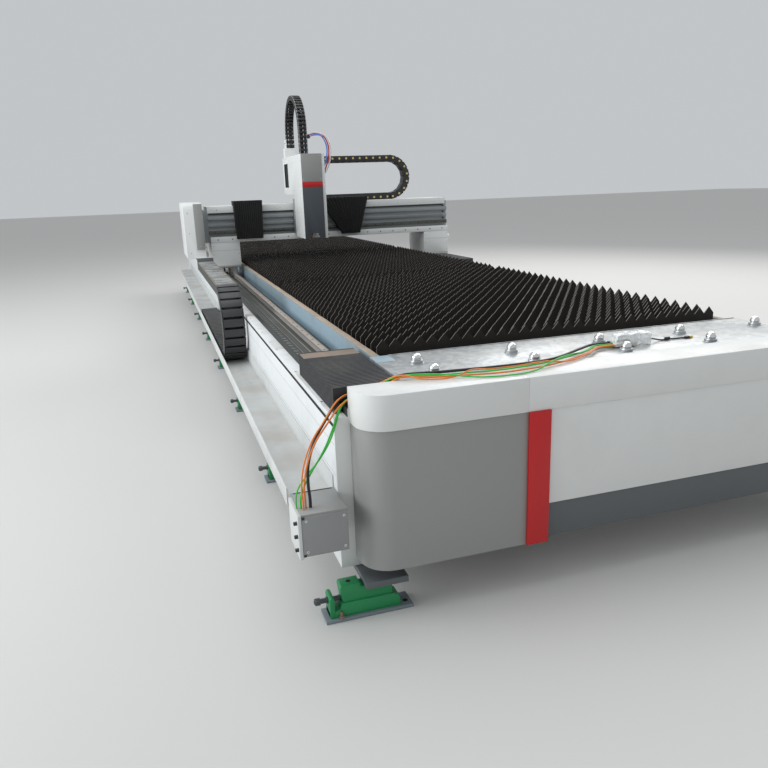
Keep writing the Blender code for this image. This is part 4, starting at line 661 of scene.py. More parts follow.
# Cross members and levelling feet: square tubes under the bed, on green cast wedge blocks with a
# levelling screw. Each block stands on a blue-grey steel plate with a hex bolt and a free hole.
foot_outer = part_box("bed_beam_right")[1].x - bed_x + 0.086
foot_half = 0.042
plate_thick = 0.012
wedge_half = 0.035
wedge_top = 0.1085
foot_screw_z = 0.066
foot_rows = (4.318, 3.0843, 1.8506, 0.6169)
casting_green = finish("green_cast_paint", (0.010, 0.235, 0.075), 0.42, dust=0.35, scuffs=0.25, grain=150.0,
                       relief=0.35, dust_tone=(0.30, 0.32, 0.26))
plate_steel = finish("blue_grey_plate", (0.20, 0.245, 0.27), 0.40, metallic=0.3, dust=0.5, scuffs=0.5,
                     dust_tone=(0.36, 0.35, 0.33))
dull_bolt = finish("brown_bolt_steel", (0.26, 0.19, 0.14), 0.42, metallic=0.6, dust=0.3, scuffs=0.5)


whole_outside = (bpy.ops.mesh.normals_make_consistent, {"inside": False})


def block_of(outline, y, edge, coat, smooth_degrees=smooth_angle):
    """Plate of a side outline in x and z, pushed through from one y to the other."""
    shape = bmesh.new()
    shape.faces.new([shape.verts.new((x, y[0], z)) for x, z in outline])
    piece = meshed("block", shape)
    edited((bpy.ops.mesh.extrude_region_move, {
        "TRANSFORM_OT_translate": {"value": (0.0, y[1] - y[0], 0.0)}}), whole_outside)
    applied(piece, "BEVEL", width=edge, segments=2, angle_limit=math.radians(25.0))
    ready(piece, coat, smooth_degrees)
    return piece


def one_foot(side):
    """Levelling foot about y = 0 on one side of the bed, measured from its outer end."""
    def x_at(reach):
        return bed_x + side * (foot_outer + reach)

    base = plate_thick - 0.001
    parts = [bar((x_at(0.0), x_at(-0.30)), (-foot_half, foot_half), (0.0, plate_thick), 0.0015, plate_steel),
             # Dark disc in the plate: the free hole, as painted shade.
             pin((x_at(-0.280), -0.012, base), (0, 0, 0.0013), 0.009, 20, 0.0, painted_opening_shade),
             pin((x_at(-0.052), -0.0365, base), (0, 0, 0.011), 0.0100, 6, 0.0012, dull_bolt),
             pin((x_at(-0.052), -0.0365, plate_thick), (0, 0, 0.024), 0.0055, 16, 0.0012, dull_bolt)]
    for half, edge, outline in (
            (wedge_half - 0.004, 0.003, (
                (-0.016, base), (-0.016, 0.034), (-0.050, 0.038), (-0.056, 0.060), (-0.236, 0.060),
                (-0.256, 0.046), (-0.260, base))),
            (wedge_half - 0.003, 0.0025, (
                (-0.016, base), (-0.016, 0.080), (-0.020, 0.087), (-0.028, 0.087), (-0.033, 0.080),
                (-0.033, base))),
            (wedge_half - 0.009, 0.002, (
                (-0.062, 0.058), (-0.054, 0.112), (-0.058, wedge_top + 0.012),
                (1.0540 - foot_outer, wedge_top + 0.012), (1.0520 - foot_outer, wedge_top - 0.002),
                (-0.225, wedge_top - 0.002), (-0.232, 0.100), (-0.232, 0.058)))):
        parts.append(block_of([(x_at(x), z) for x, z in outline], (-half, half), edge, casting_green, 40.0))
    # Dark disc on the wedge's top: the levelling screw's hole, as painted shade.
    parts.append(pin((x_at(-0.088), 0.0, wedge_top + 0.011), (0, 0, 0.0012), 0.0085, 20, 0.0, painted_opening_shade))
    for start, length, radius, corners, edge in (
            (-0.070, 0.082, 0.0080, 20, 0.0008), (0.010, 0.017, 0.0135, 6, 0.0012),
            (-0.016, 0.006, 0.0125, 6, 0.001), (0.0270, 0.0025, 0.0075, 16, 0.0006),
            *((-0.062 + 0.005 * k, 0.002, 0.0091, 16, 0.0004) for k in range(14))):
        parts.append(pin((x_at(start), 0.0, foot_screw_z), (side * length, 0, 0), radius, corners, edge,
                         dark_paint))
    return joined("foot", parts)


feet = [one_foot(side) for side in (-1, 1)]
for number, row_y in enumerate([-y for y in foot_rows] + list(foot_rows[::-1]), 1):
    middle = row_y - math.copysign(0.025, row_y)
    parts = [laid(foot, [Matrix.Translation((0.0, row_y, 0.0))])[0] for foot in feet]
    parts.append(bar(across(1, -0.822, 0.822), (middle - 0.08, middle + 0.08), (0.2017, 0.3197),
                     0.006, white_paint, steps=3))
    for side, (inner, outer, half, z, edge) in product((-1, 1), (
            (0.895, 1.041, 0.08, (0.1075, 0.1297), 0.0015), (0.915, 1.021, 0.05, (0.1045, 0.1085), 0.0008),
            (0.7997, 0.8495, 0.078, (0.1960, 0.3190), 0.003))):
        parts.append(bar(across(side, inner, outer), (middle - half, middle + half), z,
                         edge, steel_grey_paint))
    fitted(joined("member_and_feet_%d" % number, parts), "bed",
           "bed_cross_member_%d" % number)
for foot in feet:
    bpy.data.objects.remove(foot)

# Cable tray and its end box: folded white sheet along the left side, with a grey box at its front end.
# A thicker end plate closes the box, held by four bright screws, with black thumb knobs beside it.
tray_paint = finish("tray_white", (0.62, 0.63, 0.62), 0.5, dust=0.9, scuffs=0.6, dust_tone=(0.52, 0.50, 0.46))
dressed("cable_tray", "cable_tray_sheet", [tray_paint], edge=0.0008)
low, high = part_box("tray_end_box")
box_grey = finish("box_mid_grey", (0.27, 0.275, 0.275), 0.42, dust=0.6, scuffs=0.3,
                  dust_tone=(0.42, 0.41, 0.39))
parts = [bar((low.x + 0.010, high.x), (low.y + 0.004, high.y), (low.z + 0.006, high.z - 0.0005), 0.003,
             box_grey),
         bar((low.x + 0.012, high.x - 0.003), (low.y + 0.0010, low.y + 0.005),
             (low.z + 0.012, high.z - 0.010), 0.0008, box_grey),
         bar((low.x, low.x + 0.011), (low.y, high.y - 0.03), (low.z, high.z), 0.0015, tray_paint),
         # Dark strip on the box's top near its back edge: painted shade in a gap.
         bar((low.x + 0.02, high.x - 0.01), (high.y - 0.012, high.y - 0.005),
             (high.z - 0.0012, high.z - 0.0002), 0.0, painted_opening_shade)]
screw_xs = (low.x + 0.026, high.x - 0.014)
screw_zs = (low.z + 0.024, high.z - 0.022)
parts += pins(screw_xs, [low.y + 0.002], screw_zs, (0, -0.0018, 0), 0.0042, 20, 0.0006, bright_steel)
# Dark hexagons in the screw heads: painted shade in their sockets.
parts += pins(screw_xs, [low.y + 0.0004], screw_zs, (0, -0.0004, 0), 0.0018, 6, 0.0, painted_opening_shade)
parts += [bar((low.x + 0.0125, low.x + 0.0215), (low.y + 0.0003, low.y + 0.004), (z, z + 0.009), 0.001,
              black_plastic) for z in (low.z + 0.008, high.z - 0.016)]
parts += pins([low.x + 0.002], [low.y + 0.016], (low.z + 0.03, low.z + 0.075, low.z + 0.12),
              (-0.013, 0, 0), 0.0062, 16, 0.0015, black_plastic)
fitted(joined("tray_end_box_sheet", parts), "bed", "tray_end_box")

# Drag chain beside the bed: moulded black nylon links that carry the gantry's cables. The lids of the
# upper run are dusty, with pale streaks, and each link shows its side plates, gap and pivot dot.
chain_low, chain_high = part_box("drag_chain_lower_run")
chain_width = chain_high.x - chain_low.x
chain_x = (chain_low.x + chain_high.x) / 2
chain_middle_z = 0.6003
chain_radius = 0.20
chain_band = 0.030
link_pitch = 0.055
lid_grey = finish("dusty_chain_lid", (0.085, 0.088, 0.09), 0.5, dust=0.85, scuffs=0.3, grain=200.0,
                  relief=0.2, dust_tone=(0.26, 0.26, 0.25))
chain_black = finish("chain_side_nylon", (0.020, 0.020, 0.022), 0.42, dust=0.6, scuffs=0.2,
                     dust_tone=(0.17, 0.16, 0.13))
dark_lid = finish("dark_chain_lid", (0.040, 0.041, 0.043), 0.45, dust=0.5, scuffs=0.4, grain=200.0,
                  relief=0.2, dust_tone=(0.20, 0.20, 0.19))
edge_dust = finish("chain_edge_dust", (0.21, 0.18, 0.11), 0.6, dust=0.5, scuffs=0.6)
streak_white = finish("lid_streak", (0.36, 0.36, 0.35), 0.6, dust=0.5, scuffs=0.6)
pivot_dot = finish("pivot_dot", (0.16, 0.15, 0.12), 0.5, dust=0.2)
tree = lid_grey.node_tree
lid_place = node(tree, "ShaderNodeTexCoord")
lid_stretch = node(tree, "ShaderNodeMapping", {"Scale": (7.0, 34.0, 34.0)})
lid_streaks = node(tree, "ShaderNodeTexNoise",
                   {"Scale": 1.0, "Detail": 5.0, "Roughness": 0.7, "Distortion": 0.8})
lid_mask = node(tree, "ShaderNodeMapRange", {"From Min": 0.46, "From Max": 0.60, "To Max": 1.0})
lid_mix = node(tree, "ShaderNodeMix", {"B": (0.47, 0.47, 0.455, 1.0)}, data_type="RGBA")
wired(tree, (lid_place, "Object", lid_stretch, "Vector"), (lid_stretch, "Vector", lid_streaks, "Vector"),
      (lid_streaks, "Fac", lid_mask, "Value"), (lid_mask, "Result", lid_mix, "Factor"),
      (tree.nodes["Group"], "Color", lid_mix, "A"),
      (lid_mix, "Result", tree.nodes["Principled BSDF"], "Base Color"))


def both(reach):
    """The same distance to both sides."""
    return -reach, reach


def chain_link(width, half, pitch, streaked, dot_coat, dot_radius):
    """One link about the origin: runs along x, width along y, outside towards +z."""
    parts = []
    for side in (-1, 1):
        outer = side * width / 2
        inward = -side * width
        parts += [
            bar(both(pitch * 0.46), (outer, outer + inward * 0.07), both(half * 0.97), pitch * 0.05,
                chain_black),
            bar((pitch * 0.30, pitch * 0.70), (outer + inward * 0.012, outer + inward * 0.09),
                both(half * 0.72), pitch * 0.05, chain_black),
            pin((pitch * 0.10, outer - side * 0.001, half * 0.25), (0, side * 0.0012, 0), dot_radius, 14,
                0.0, dot_coat)]
    for side, lid in ((-1, chain_black), (1, lid_grey if streaked else dark_lid)):
        parts.append(bar(both(pitch * 0.42), both(width * 0.44), (side * half, side * (half - 0.004)),
                         0.001, lid))
    if streaked:
        parts.append(bar((-pitch * 0.06, pitch * 0.05), both(width * 0.36), (half - 0.001, half + 0.0002),
                         0.0, streak_white))
        parts += [bar(both(pitch * 0.46), (side * (width / 2 - 0.0005), side * (width / 2 - 0.006)),
                      (half * 0.90, half * 0.985), 0.0005, edge_dust) for side in (-1, 1)]
    return joined("chain_link", parts)


def straight(start, step, count, turned):
    """Places of links at even steps, each turned by a matrix."""
    return [Matrix.Translation([a + b * k for a, b in zip(start, step)]) @ turned for k in range(count)]


def bend(centre, radius, angles, count, spin):
    """Places of links round a bend; angles in degrees, spin turns the bend's plane."""
    places = []
    for k in range(count):
        angle = math.radians(angles[0] + (angles[1] - angles[0]) * (k + 0.5) / count)
        reach = Matrix.Translation((math.cos(angle) * radius, 0.0, math.sin(angle) * radius))
        places.append(Matrix.Translation(centre) @ spin @ reach
                      @ Matrix.Rotation(math.radians(90.0) - angle, 4, "Y"))
    return places


def chain_piece(name, link, places, body, source):
    """Links at their places as one piece."""
    return fitted(joined(name, laid(link, places)), body, source)


def rolling_chain(name, source, body_name, axis, centre, radius, bend_links, turned, spin, runs):
    """Lower and upper run of a chain along an axis, stretched to its CAD box, and its halves of the bend.

    A run is its name, number of links, link, the bend's link, the body it starts from and the blend's start;
    the body and the start are not used.
    """
    for word, count, link, bend_link, body, start in runs:
        lift = -1 if word == "lower" else 1
        low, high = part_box("%s_%s_run" % (source, word))
        step = [0.0, 0.0, 0.0]
        step[axis] = (high[axis] - low[axis]) / count
        first = [centre[0], centre[1], centre[2] + lift * radius]
        first[axis] = low[axis] + step[axis] / 2
        run = chain_piece("%s_%s" % (name, word), link, straight(
            first, step, count, turned @ flipped if lift < 0 else turned), None, "%s_%s_run" % (source, word))
        bend_body = "%s_%s_bend" % (body_name, word)
        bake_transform(run)
        chain_piece("%s_bend_%s" % (name, word), bend_link, bend(
            centre, radius, sorted((0.0, 90.0 * lift)), bend_links, spin),
            bend_body, "%s_%s_bend" % (source, word))


plain_link, lid_link = (chain_link(chain_width - 0.001, chain_band, link_pitch, streaked, pivot_dot, 0.007)
                        for streaked in (False, True))
along_bed = Matrix.Rotation(math.radians(90.0), 4, "Z")
flipped = Matrix.Rotation(math.pi, 4, "X")
bend_centre = (chain_x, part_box("drag_chain_lower_bend")[0].y + chain_radius + chain_band, chain_middle_z)
rolling_chain("long_chain", "drag_chain", "chain", axis=1, centre=bend_centre, radius=chain_radius,
              bend_links=6, turned=along_bed, spin=Matrix.Rotation(math.radians(-90.0), 4, "Z"), runs=(
                  ("lower", 31, plain_link, plain_link, "bed", (chain_x, -0.20, 0.40)),
                  ("upper", 29, lid_link, plain_link, "gantry", (chain_x, -0.315, 0.80))))
for link in (plain_link, lid_link):
    bpy.data.objects.remove(link)

# Gantry drives and feet: steel saddles on the rails, each with a dark servo motor and a rack pinion,
# under white folded boxes. The right box carries the white end of a motor.
saddle_top = 0.7655
box_inner = 0.85
box_outer = 1.09
motor_floor = saddle_top + 0.004
screw_rows = (0.790, 0.862, 0.935)
screw_head = 0.0032
screw_radius = 0.004
screw_edge = 0.0008
round_sides = 12


def drive_finish(centre, normal):
    """Motor in dark paint above the saddle plate, the rest bare steel."""
    return 1 if centre.z > motor_floor else 0


for word, side in sides:
    dressed("drive_unit_" + word, "saddle_and_motor_" + word, [bare_steel, dark_paint], edge=0.0008,
            rule=drive_finish)
    dressed("drive_pinion_" + word, "rack_pinion_" + word, [oiled_steel], edge=0.0)
    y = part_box("gantry_foot_" + word)[0].y
    dressed("gantry_foot_" + word, "gantry_foot_box_" + word, [white_paint], edge=0.0015)
    near, far = sorted(across(side, box_inner, box_outer))
    screws = pins((near + 0.014, far - 0.014), [y + 0.001], screw_rows, (0, -screw_head, 0),
                  screw_radius, round_sides, screw_edge, bright_steel)
    screws += pins([bed_x + side * (box_outer - 0.001)], (y + 0.03, y + 0.20, y + 0.37), screw_rows[::2],
                   (side * screw_head, 0, 0), screw_radius, round_sides, screw_edge, bright_steel)
    fitted(joined("foot_box_screws_" + word, screws), "gantry")
    fitted(bar((near + 0.006, far - 0.006), (y - 0.0008, y + 0.001), (0.893, 0.8945), 0.0, grey_paint,
               "foot_box_seam_" + word), "gantry")

# Girder across the bed: grey painted box section with two linear rails and a rack on its front face.
# A folded white cover lies on top, a white lip with small bolts below, and end plates close it.
girder_face = -0.04
rail_split_z = 1.08
girder_grey = finish("girder_grey_coat", (0.27, 0.29, 0.30), 0.40, dust=0.3, scuffs=0.15)


def girder_finish(centre, normal):
    """The lower rail is bare, dark metal. The upper rail and the rack's seat are painted over."""
    return 1 if centre.y < girder_face - 0.0005 and centre.z < rail_split_z else 0


dressed("gantry_girder", "girder_painted", [girder_grey, oiled_steel], edge=0.0015,
        rule=girder_finish)
dressed("girder_lower_lip", "girder_lip_coated", [white_paint], edge=0.0015)
dressed("girder_top_cover", "girder_cover_coated", [white_paint], edge=0.0012)
parts = [bar(across(1, 1.066, 1.0785), (girder_face + 0.009, 0.291), (0.969, 1.2265), 0.001,
             girder_grey),
         bar(across(1, -1.09, 1.05), (girder_face - 0.0016, girder_face + 0.0005), (1.190, 1.2345),
             0.0, dark_paint)]
parts += pins([bed_x + 1.048], [girder_face + 0.001], (1.078, 1.135, 1.1855), (0, -0.0085, 0), 0.0085, 6,
              0.001, black_plastic)
for count, left, pitch, y, z, depth, radius, edge, coat in (
        (18, -1.03, 0.1212, -0.0618, 0.984, 0.0047, 0.0052, 0.001, dark_paint),
        (12, -1.02, 0.18, -0.0618, 1.232, 0.0024, 0.004, 0.0008, bright_steel),
        # The third row is dark discs for the lower rail's screw holes: painted shade.
        (26, -1.05, 0.084, girder_face - 0.0195, 1.045, 0.0008, 0.005, 0.0, painted_opening_shade)):
    parts += row_of(pin((bed_x + left, y, z), (0, -depth, 0), radius, round_sides, edge, coat),
                    (pitch, 0, 0), count)
fitted(joined("girder_fittings", parts), "gantry")
tooth = bar(across(-1, 1.0518, 1.0482), (girder_face - 0.0185, girder_face - 0.0145), (1.095, 1.115),
            0.0006, girder_grey)
rack_pitch = 0.0084
rack_teeth_count = 250
fitted(joined("girder_rack_teeth", row_of(tooth, (rack_pitch, 0, 0), rack_teeth_count)), "gantry")

# Column at the gantry's left end: white folded cover with a rounded top and a grey strip in front.
# An arm of plain plate reaches from it to the moving end of the long drag chain.
arm_top = 0.8585
strip_front = -0.3005
strip_low = 0.9


def column_finish(centre, normal):
    """Front strip in grey, the chain's arm in dark grey, the cover white."""
    if centre.z < arm_top:
        return 2
    if centre.y < strip_front and centre.z > strip_low:
        return 1
    return 0


dressed("gantry_column_left", "column_cover", [white_paint, grey_paint, steel_grey_paint], edge=0.002,
        rule=column_finish)
screws = []
for x, y, zs, depth, radius in ((-1.275, -0.2990, (0.905, 1.06, 1.22), -0.0028, 0.0045),
                                (-1.230, 0.2990, (0.905, 1.06, 1.22), 0.0028, 0.0045),
                                (-1.191, -0.3115, (0.955, 1.265), -0.0025, 0.004)):
    screws += pins([bed_x + x], [y], zs, (0, depth, 0), radius, round_sides, screw_edge, bright_steel)
fitted(joined("column_screws", screws), "gantry")

# Carriage and Z slide: ground steel plates on linear guides behind the head's cover.
# The laser torch hangs on the slide in a clamp, with a ringed body and a copper nozzle below.
dressed("carriage_plate", "carriage_plate_ground", [bare_steel], edge=0.0012)
dressed("z_slide_plate", "slide_plate_ground", [bare_steel], edge=0.0012)
copper = finish("nozzle_copper", (0.62, 0.27, 0.14), 0.28, metallic=1.0, dust=0.1, scuffs=0.4)
torch_black = finish("torch_black_anodised", (0.03, 0.03, 0.034), 0.35, metallic=0.5, dust=0.15)
torch_x = bed_x - 0.275
torch_y = -0.30
turned_sides = 32


def turned_part(name, outline, coat, source):
    """Turned part about the torch's axis, from its outline of radius and height."""
    shape = bmesh.new()
    points = [shape.verts.new((radius, 0.0, z)) for radius, z in outline]
    for ends in zip(points, points[1:]):
        shape.edges.new(ends)
    piece = meshed(name, shape)
    edited((bpy.ops.mesh.spin, {"steps": turned_sides, "angle": 2 * math.pi, "center": (0.0, 0.0, 0.0),
                                "axis": (0.0, 0.0, 1.0)}),
           (bpy.ops.mesh.remove_doubles, {"threshold": weld_reach}), whole_outside)
    piece.data.transform(Matrix.Translation((torch_x, torch_y, 0.0)))
    ready(piece, coat, 30.0)
    fitted(piece, "torch", source)


turned_part("laser_torch_turned",
            [(0.0, 1.55), (0.022, 1.55), (0.0258, 1.547), (0.0258, 1.520), (0.0225, 1.517), (0.0225, 1.511),
             (0.0258, 1.508), (0.0258, 1.490), (0.0376, 1.472), (0.0376, 1.400), (0.0345, 1.397),
             (0.0345, 1.391), (0.0376, 1.388), (0.0376, 1.280), (0.0345, 1.277), (0.0345, 1.271),
             (0.0376, 1.268), (0.0376, 1.170), (0.0345, 1.167), (0.0345, 1.161), (0.0376, 1.158),
             (0.0376, 1.100), (0.0278, 1.080), (0.0278, 1.062), (0.0255, 1.060), (0.0255, 1.055),
             (0.0278, 1.053), (0.0278, 1.030), (0.020, 1.0008), (0.0, 1.0008)],
            torch_black, "laser_torch")
turned_part("cutting_nozzle_turned",
            [(0.0, 0.9998), (0.0125, 0.9998), (0.0138, 0.9985), (0.0138, 0.990), (0.0128, 0.989),
             (0.0128, 0.987), (0.0138, 0.986), (0.0138, 0.981), (0.0042, 0.951), (0.0032, 0.9502),
             (0.0010, 0.9502), (0.0008, 0.957), (0.0, 0.957)],
            copper, "cutting_nozzle")

# Cover of the cutting head: folded white sheet with a grey panel, a red band and a dark panel in front.
# A slot in its left side takes the cables, and a bracket on top holds the arched chain.
dressed("head_housing", "head_cover", [white_paint], edge=0.0010)
dressed("head_upper_panel", "head_panel_grey", [grey_paint], edge=0.0022, steps=3)
dressed("head_lower_panel", "head_panel_dark", [dark_paint], edge=0.0018, steps=3)
panel_low, panel_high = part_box("head_lower_panel")
fitted(bar((panel_low.x + 0.0006, panel_high.x - 0.0006), (panel_low.y - 0.0005, panel_low.y + 0.003),
           (1.392, panel_high.z - 0.0006), 0.0004, red_paint, "red_band"), "carriage")
head_low, head_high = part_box("head_housing")
head_left = head_low.x
# Dark sheet just inside the cable slot: painted shade in the opening.
parts = [bar((head_left + 0.006, head_left + 0.008), (0.085, 0.265), (1.385, 1.605), 0.0, painted_opening_shade)]
parts += [bar((head_left - 0.0009, head_left + 0.003), y, z, 0.0006, black_plastic) for y, z in (
    ((0.094, 0.256), (1.394, 1.400)), ((0.094, 0.256), (1.590, 1.596)),
    ((0.094, 0.100), (1.394, 1.596)), ((0.250, 0.256), (1.394, 1.596)))]
for x, depth, ys, zs in (
        (head_left + 0.001, -0.0028, (-0.455, -0.30, -0.14), (1.01, 1.19, 1.37, 1.60)),
        (head_high.x - 0.001, 0.0028, (-0.455, -0.30, -0.14), (1.01, 1.19, 1.37, 1.60)),
        (head_left + 0.001, -0.0028, (0.0, 0.30), (1.37, 1.62))):
    parts += pins([x], ys, zs, (depth, 0, 0), 0.0042, 12, 0.0007, bright_steel)
parts.append(block_of([(head_left + 0.0135, 1.6495), (head_left + 0.0225, 1.6495),
                       (head_left + 0.0225, 1.800), (head_left + 0.0135, 1.800)], (0.186, 0.254), 0.0025,
                      white_paint))
# Dark discs in the bracket stand for its holes: painted shade.
parts += pins([head_left + 0.014], (0.202, 0.238), (1.675, 1.712, 1.772), (-0.0007, 0, 0), 0.0065, 16, 0.0,
              painted_opening_shade)
parts += pins([head_left + 0.018], [0.187], (1.69, 1.75, 1.785), (0, -0.0015, 0), 0.003, 12, 0.0,
              painted_opening_shade)
parts += pins((panel_low.x + 0.014, panel_high.x - 0.014), [-0.4855], (1.452, 1.630), (0, -0.0017, 0),
              0.0036, 12, 0.0006, bright_steel)
fitted(joined("head_cover_fittings", parts), "carriage")

# Arched chain over the head: open ladder links of black nylon with worn, silvery edges.
# It rises from the bracket, turns over the head and drops to the arm on the Z slide.
arch_x = bed_x - 0.30
arch_width = 0.07
arch_height = 0.04
arch_front = -0.33
arch_back = 0.22
arch_spring = 1.84
arch_foot = 1.7303
arch_end = 1.6003
arch_pitch = 0.0325
worn_edge = finish("worn_nylon_edge", (0.30, 0.30, 0.29), 0.35, metallic=0.2, dust=0.3, scuffs=0.5)
cable_bundle = finish("chain_cable_bundle", (0.018, 0.018, 0.02), 0.5, dust=0.2)


def ladder_link():
    """Open link about the origin: along x, width along y, outside towards +z."""
    parts = []
    edge_y = arch_width / 2
    for side in (-1, 1):
        parts += [
            bar(both(arch_pitch * 0.49), (side * edge_y, side * (edge_y - 0.006)), both(arch_height * 0.46),
                0.002, chain_black),
            bar(both(arch_pitch * 0.40), (side * (edge_y - 0.0003), side * (edge_y - 0.0062)),
                (arch_height * 0.44, arch_height * 0.485), 0.0004, worn_edge),
            pin((0.0, side * (edge_y - 0.001), 0.0), (0, side * 0.001, 0), 0.006, 12, 0.0006, worn_edge)]
    for side in (-1, 1):
        outside = arch_height * 0.49
        parts.append(bar(both(0.0085), both(arch_width * 0.44), (side * outside, side * (outside - 0.004)),
                         0.001, chain_black))
    for across, lift, thick in ((-0.017, 0.004, 0.009), (0.002, -0.005, 0.0085), (0.019, 0.005, 0.007)):
        parts.append(pin((-arch_pitch * 0.53, across, lift), (arch_pitch * 1.06, 0, 0), thick, 12, 0.0,
                         cable_bundle))
    return joined("ladder_link", parts)


def upright_links(y, foot, turned):
    """Places of links from a height up to the spring of the arch."""
    count = round((arch_spring - foot) / arch_pitch)
    pitch = (arch_spring - foot) / count
    return straight((arch_x, y, foot + pitch / 2), (0.0, 0.0, pitch), count,
                    along_bed @ Matrix.Rotation(math.radians(turned), 4, "Y"))


ladder = ladder_link()
arch_radius = (arch_back - arch_front) / 2
over_links = upright_links(arch_back, arch_foot, 90.0) + bend(
    (arch_x, (arch_back + arch_front) / 2, arch_spring), arch_radius, (0.0, 180.0),
    round(math.pi * arch_radius / arch_pitch), along_bed)
chain_piece("arched_chain", ladder, over_links, "carriage", "head_chain")
arch_drop = chain_piece("arched_chain_drop", ladder, upright_links(arch_front, arch_end, -90.0), None, None)
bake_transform(arch_drop)
bpy.data.objects.remove(ladder)

# Chain on top of the gantry: closed black nylon links with yellowish rivets, lying on the cover and
# turning over to the back of the head. Its bend travels at half the carriage's speed.
top_bend_x = bed_x + 0.603
top_middle = 1.4593
top_radius = 0.167
top_y = 0.21
top_pitch = 0.066
rivet_yellow = finish("yellow_rivet", (0.62, 0.47, 0.16), 0.45, dust=0.2)
top_link = chain_link(0.0992, 0.0298, top_pitch, False, rivet_yellow, 0.0095)
rolling_chain("top_chain", "top_chain", "top", axis=0, centre=(top_bend_x, top_y, top_middle),
              radius=top_radius, bend_links=4, turned=Matrix(), spin=Matrix(), runs=(
                  ("lower", 10, top_link, top_link, "gantry", (bed_x - 0.05, top_y, 1.29)),
                  ("upper", 12, top_link, top_link, "carriage", (bed_x - 0.165, top_y, 1.63))))
bpy.data.objects.remove(top_link)

# Bellows: black coated cloth in fine folds. One stack is parked over the left rail at the front,
# one stands at the right foot, and two hang from the girder beside the head.
rail_fold = 0.017
rail_depth = 0.0072
rail_gap_z = 0.7015
stack_low_z = 0.6606
stack_plate = 0.006
tan_rows = 17
bellows_tan = finish("dusty_bellows_end", (0.35, 0.28, 0.225), 0.75, dust=0.5, scuffs=1.0, grain=300.0,
                     relief=0.3, dust_tone=(0.46, 0.38, 0.32))
# Lighter tone for the flat outer ridge of each fold: a painted highlight that marks the fold lines.
ridge_painted_highlight = finish("fold_ridge_painted_highlight", (0.085, 0.086, 0.090), 0.5, dust=0.4, scuffs=0.3)


def folded(name, section, stations, depth, materials, tan_count=0):
    """Skin through a section at every station, each pushed out by its own share of a fold."""
    shape = bmesh.new()
    rows = []
    for station, share in stations:
        fold = depth * share
        rows.append([shape.verts.new(station(a + fold * da, b + fold * db)) for (a, b), (da, db) in section])
    for index, (first, second) in enumerate(zip(rows, rows[1:])):
        for k in range(len(section)):
            other = (k + 1) % len(section)
            face = shape.faces.new((first[k], first[other], second[other], second[k]))
            # The flat ridges of the folds take the last material; on the rail stacks that is the painted
            # highlight.
            if k == 1 and index > len(rows) - tan_count:
                face.material_index = 1
            elif stations[index][1] and stations[index + 1][1]:
                face.material_index = len(materials) - 1
    shape.faces.new(rows[0][::-1])
    shape.faces.new(rows[-1])
    bmesh.ops.recalc_face_normals(shape, faces=shape.faces)
    piece = meshed(name, shape, materials)
    ready(piece, None, 20.0)
    return piece


for word, side, body in (("left", -1, "bed"), ("right", 1, "gantry")):
    low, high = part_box("rail_bellows_" + word)
    outer, inner = (high.x, low.x) if side > 0 else (low.x, high.x)
    hollow_out = outer - side * 0.022
    hollow_in = inner + side * 0.015
    rim = high.z - rail_depth
    section = [((outer - side * rail_depth, stack_low_z), (side, 0)),
               ((outer - side * rail_depth, rim), (side, 1)),
               ((inner + side * 0.001, rim), (0, 1)), ((inner + side * 0.001, stack_low_z), (0, 0)),
               ((hollow_in, stack_low_z), (0, 0)), ((hollow_in, rail_gap_z), (0, 0)),
               ((hollow_out, rail_gap_z), (0, 0)), ((hollow_out, stack_low_z), (0, 0))]
    count = int((high.y - low.y - 0.016) / rail_fold)
    step = (high.y - low.y - 0.016) / count
    stations = [(lambda a, b, y=low.y + 0.008 + step * (k + share): (a, y, b), fold)
                for k in range(count) for share, fold in ((0.0, 0.0), (0.40, 1.0), (0.60, 1.0))]
    stations.append((lambda a, b, y=high.y - 0.008: (a, y, b), 0.0))
    # The third material is the painted highlight on the fold ridges.
    parts = [folded("stack", section, stations, rail_depth, [black_cloth, bellows_tan, ridge_painted_highlight],
                    tan_rows if side < 0 else 0)]
    left, right = (0.021, 0.015) if side < 0 else (0.015, 0.021)
    outline = [(low.x, stack_low_z), (low.x + left, stack_low_z), (low.x + left, rail_gap_z),
               (high.x - right, rail_gap_z), (high.x - right, stack_low_z), (high.x, stack_low_z),
               (high.x, high.z), (low.x, high.z)]
    parts += [block_of(outline, (y, y + stack_plate), 0.0006, black_plastic)
              for y in (low.y, high.y - stack_plate)]
    fitted(joined("rail_stack_" + word, parts), body, "rail_bellows_" + word)

hang_low_z = 0.985
hang_top_z = 1.30
hang_lip_z = 1.2626
hang_folds = 14
hang_depth = 0.006
hanging_cloth = finish("hanging_fold_cloth", (0.0055, 0.0055, 0.006), 0.8, dust=0.03, scuffs=0.02,
                       grain=900.0, relief=0.2)
section = [((-0.124, hang_low_z), (-1, 0)), ((-0.124, 1.15), (-1, 0)),
           ((-0.124, hang_top_z - 0.001), (-1, 0)), ((0.0, hang_top_z), (0, 0)),
           ((0.0, hang_lip_z), (0, 0)), ((-0.068, hang_lip_z), (0, 0)), ((-0.068, hang_low_z), (0, 0))]
for word, bottom, top, start, end in (
        ("left", (-0.872, -0.652), (-0.885, -0.640), -1.14, -0.36),
        ("right", (0.060, 0.215), (-0.150, 0.300), 1.25, -0.165)):
    stations = []
    for k in range(2 * hang_folds + 1):
        share = k / (2 * hang_folds)
        low_x = bed_x + bottom[0] + (bottom[1] - bottom[0]) * share
        high_x = bed_x + top[0] + (top[1] - top[0]) * share

        def station(a, b, low_x=low_x, high_x=high_x):
            return low_x + (high_x - low_x) * (b - hang_low_z) / (hang_top_z - hang_low_z), a, b

        stations.append((station, k % 2))
    stack = folded("hanging_stack_" + word, section, stations, hang_depth, [hanging_cloth])
    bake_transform(stack)
    fitted(stack, None, "hanging_bellows_" + word)

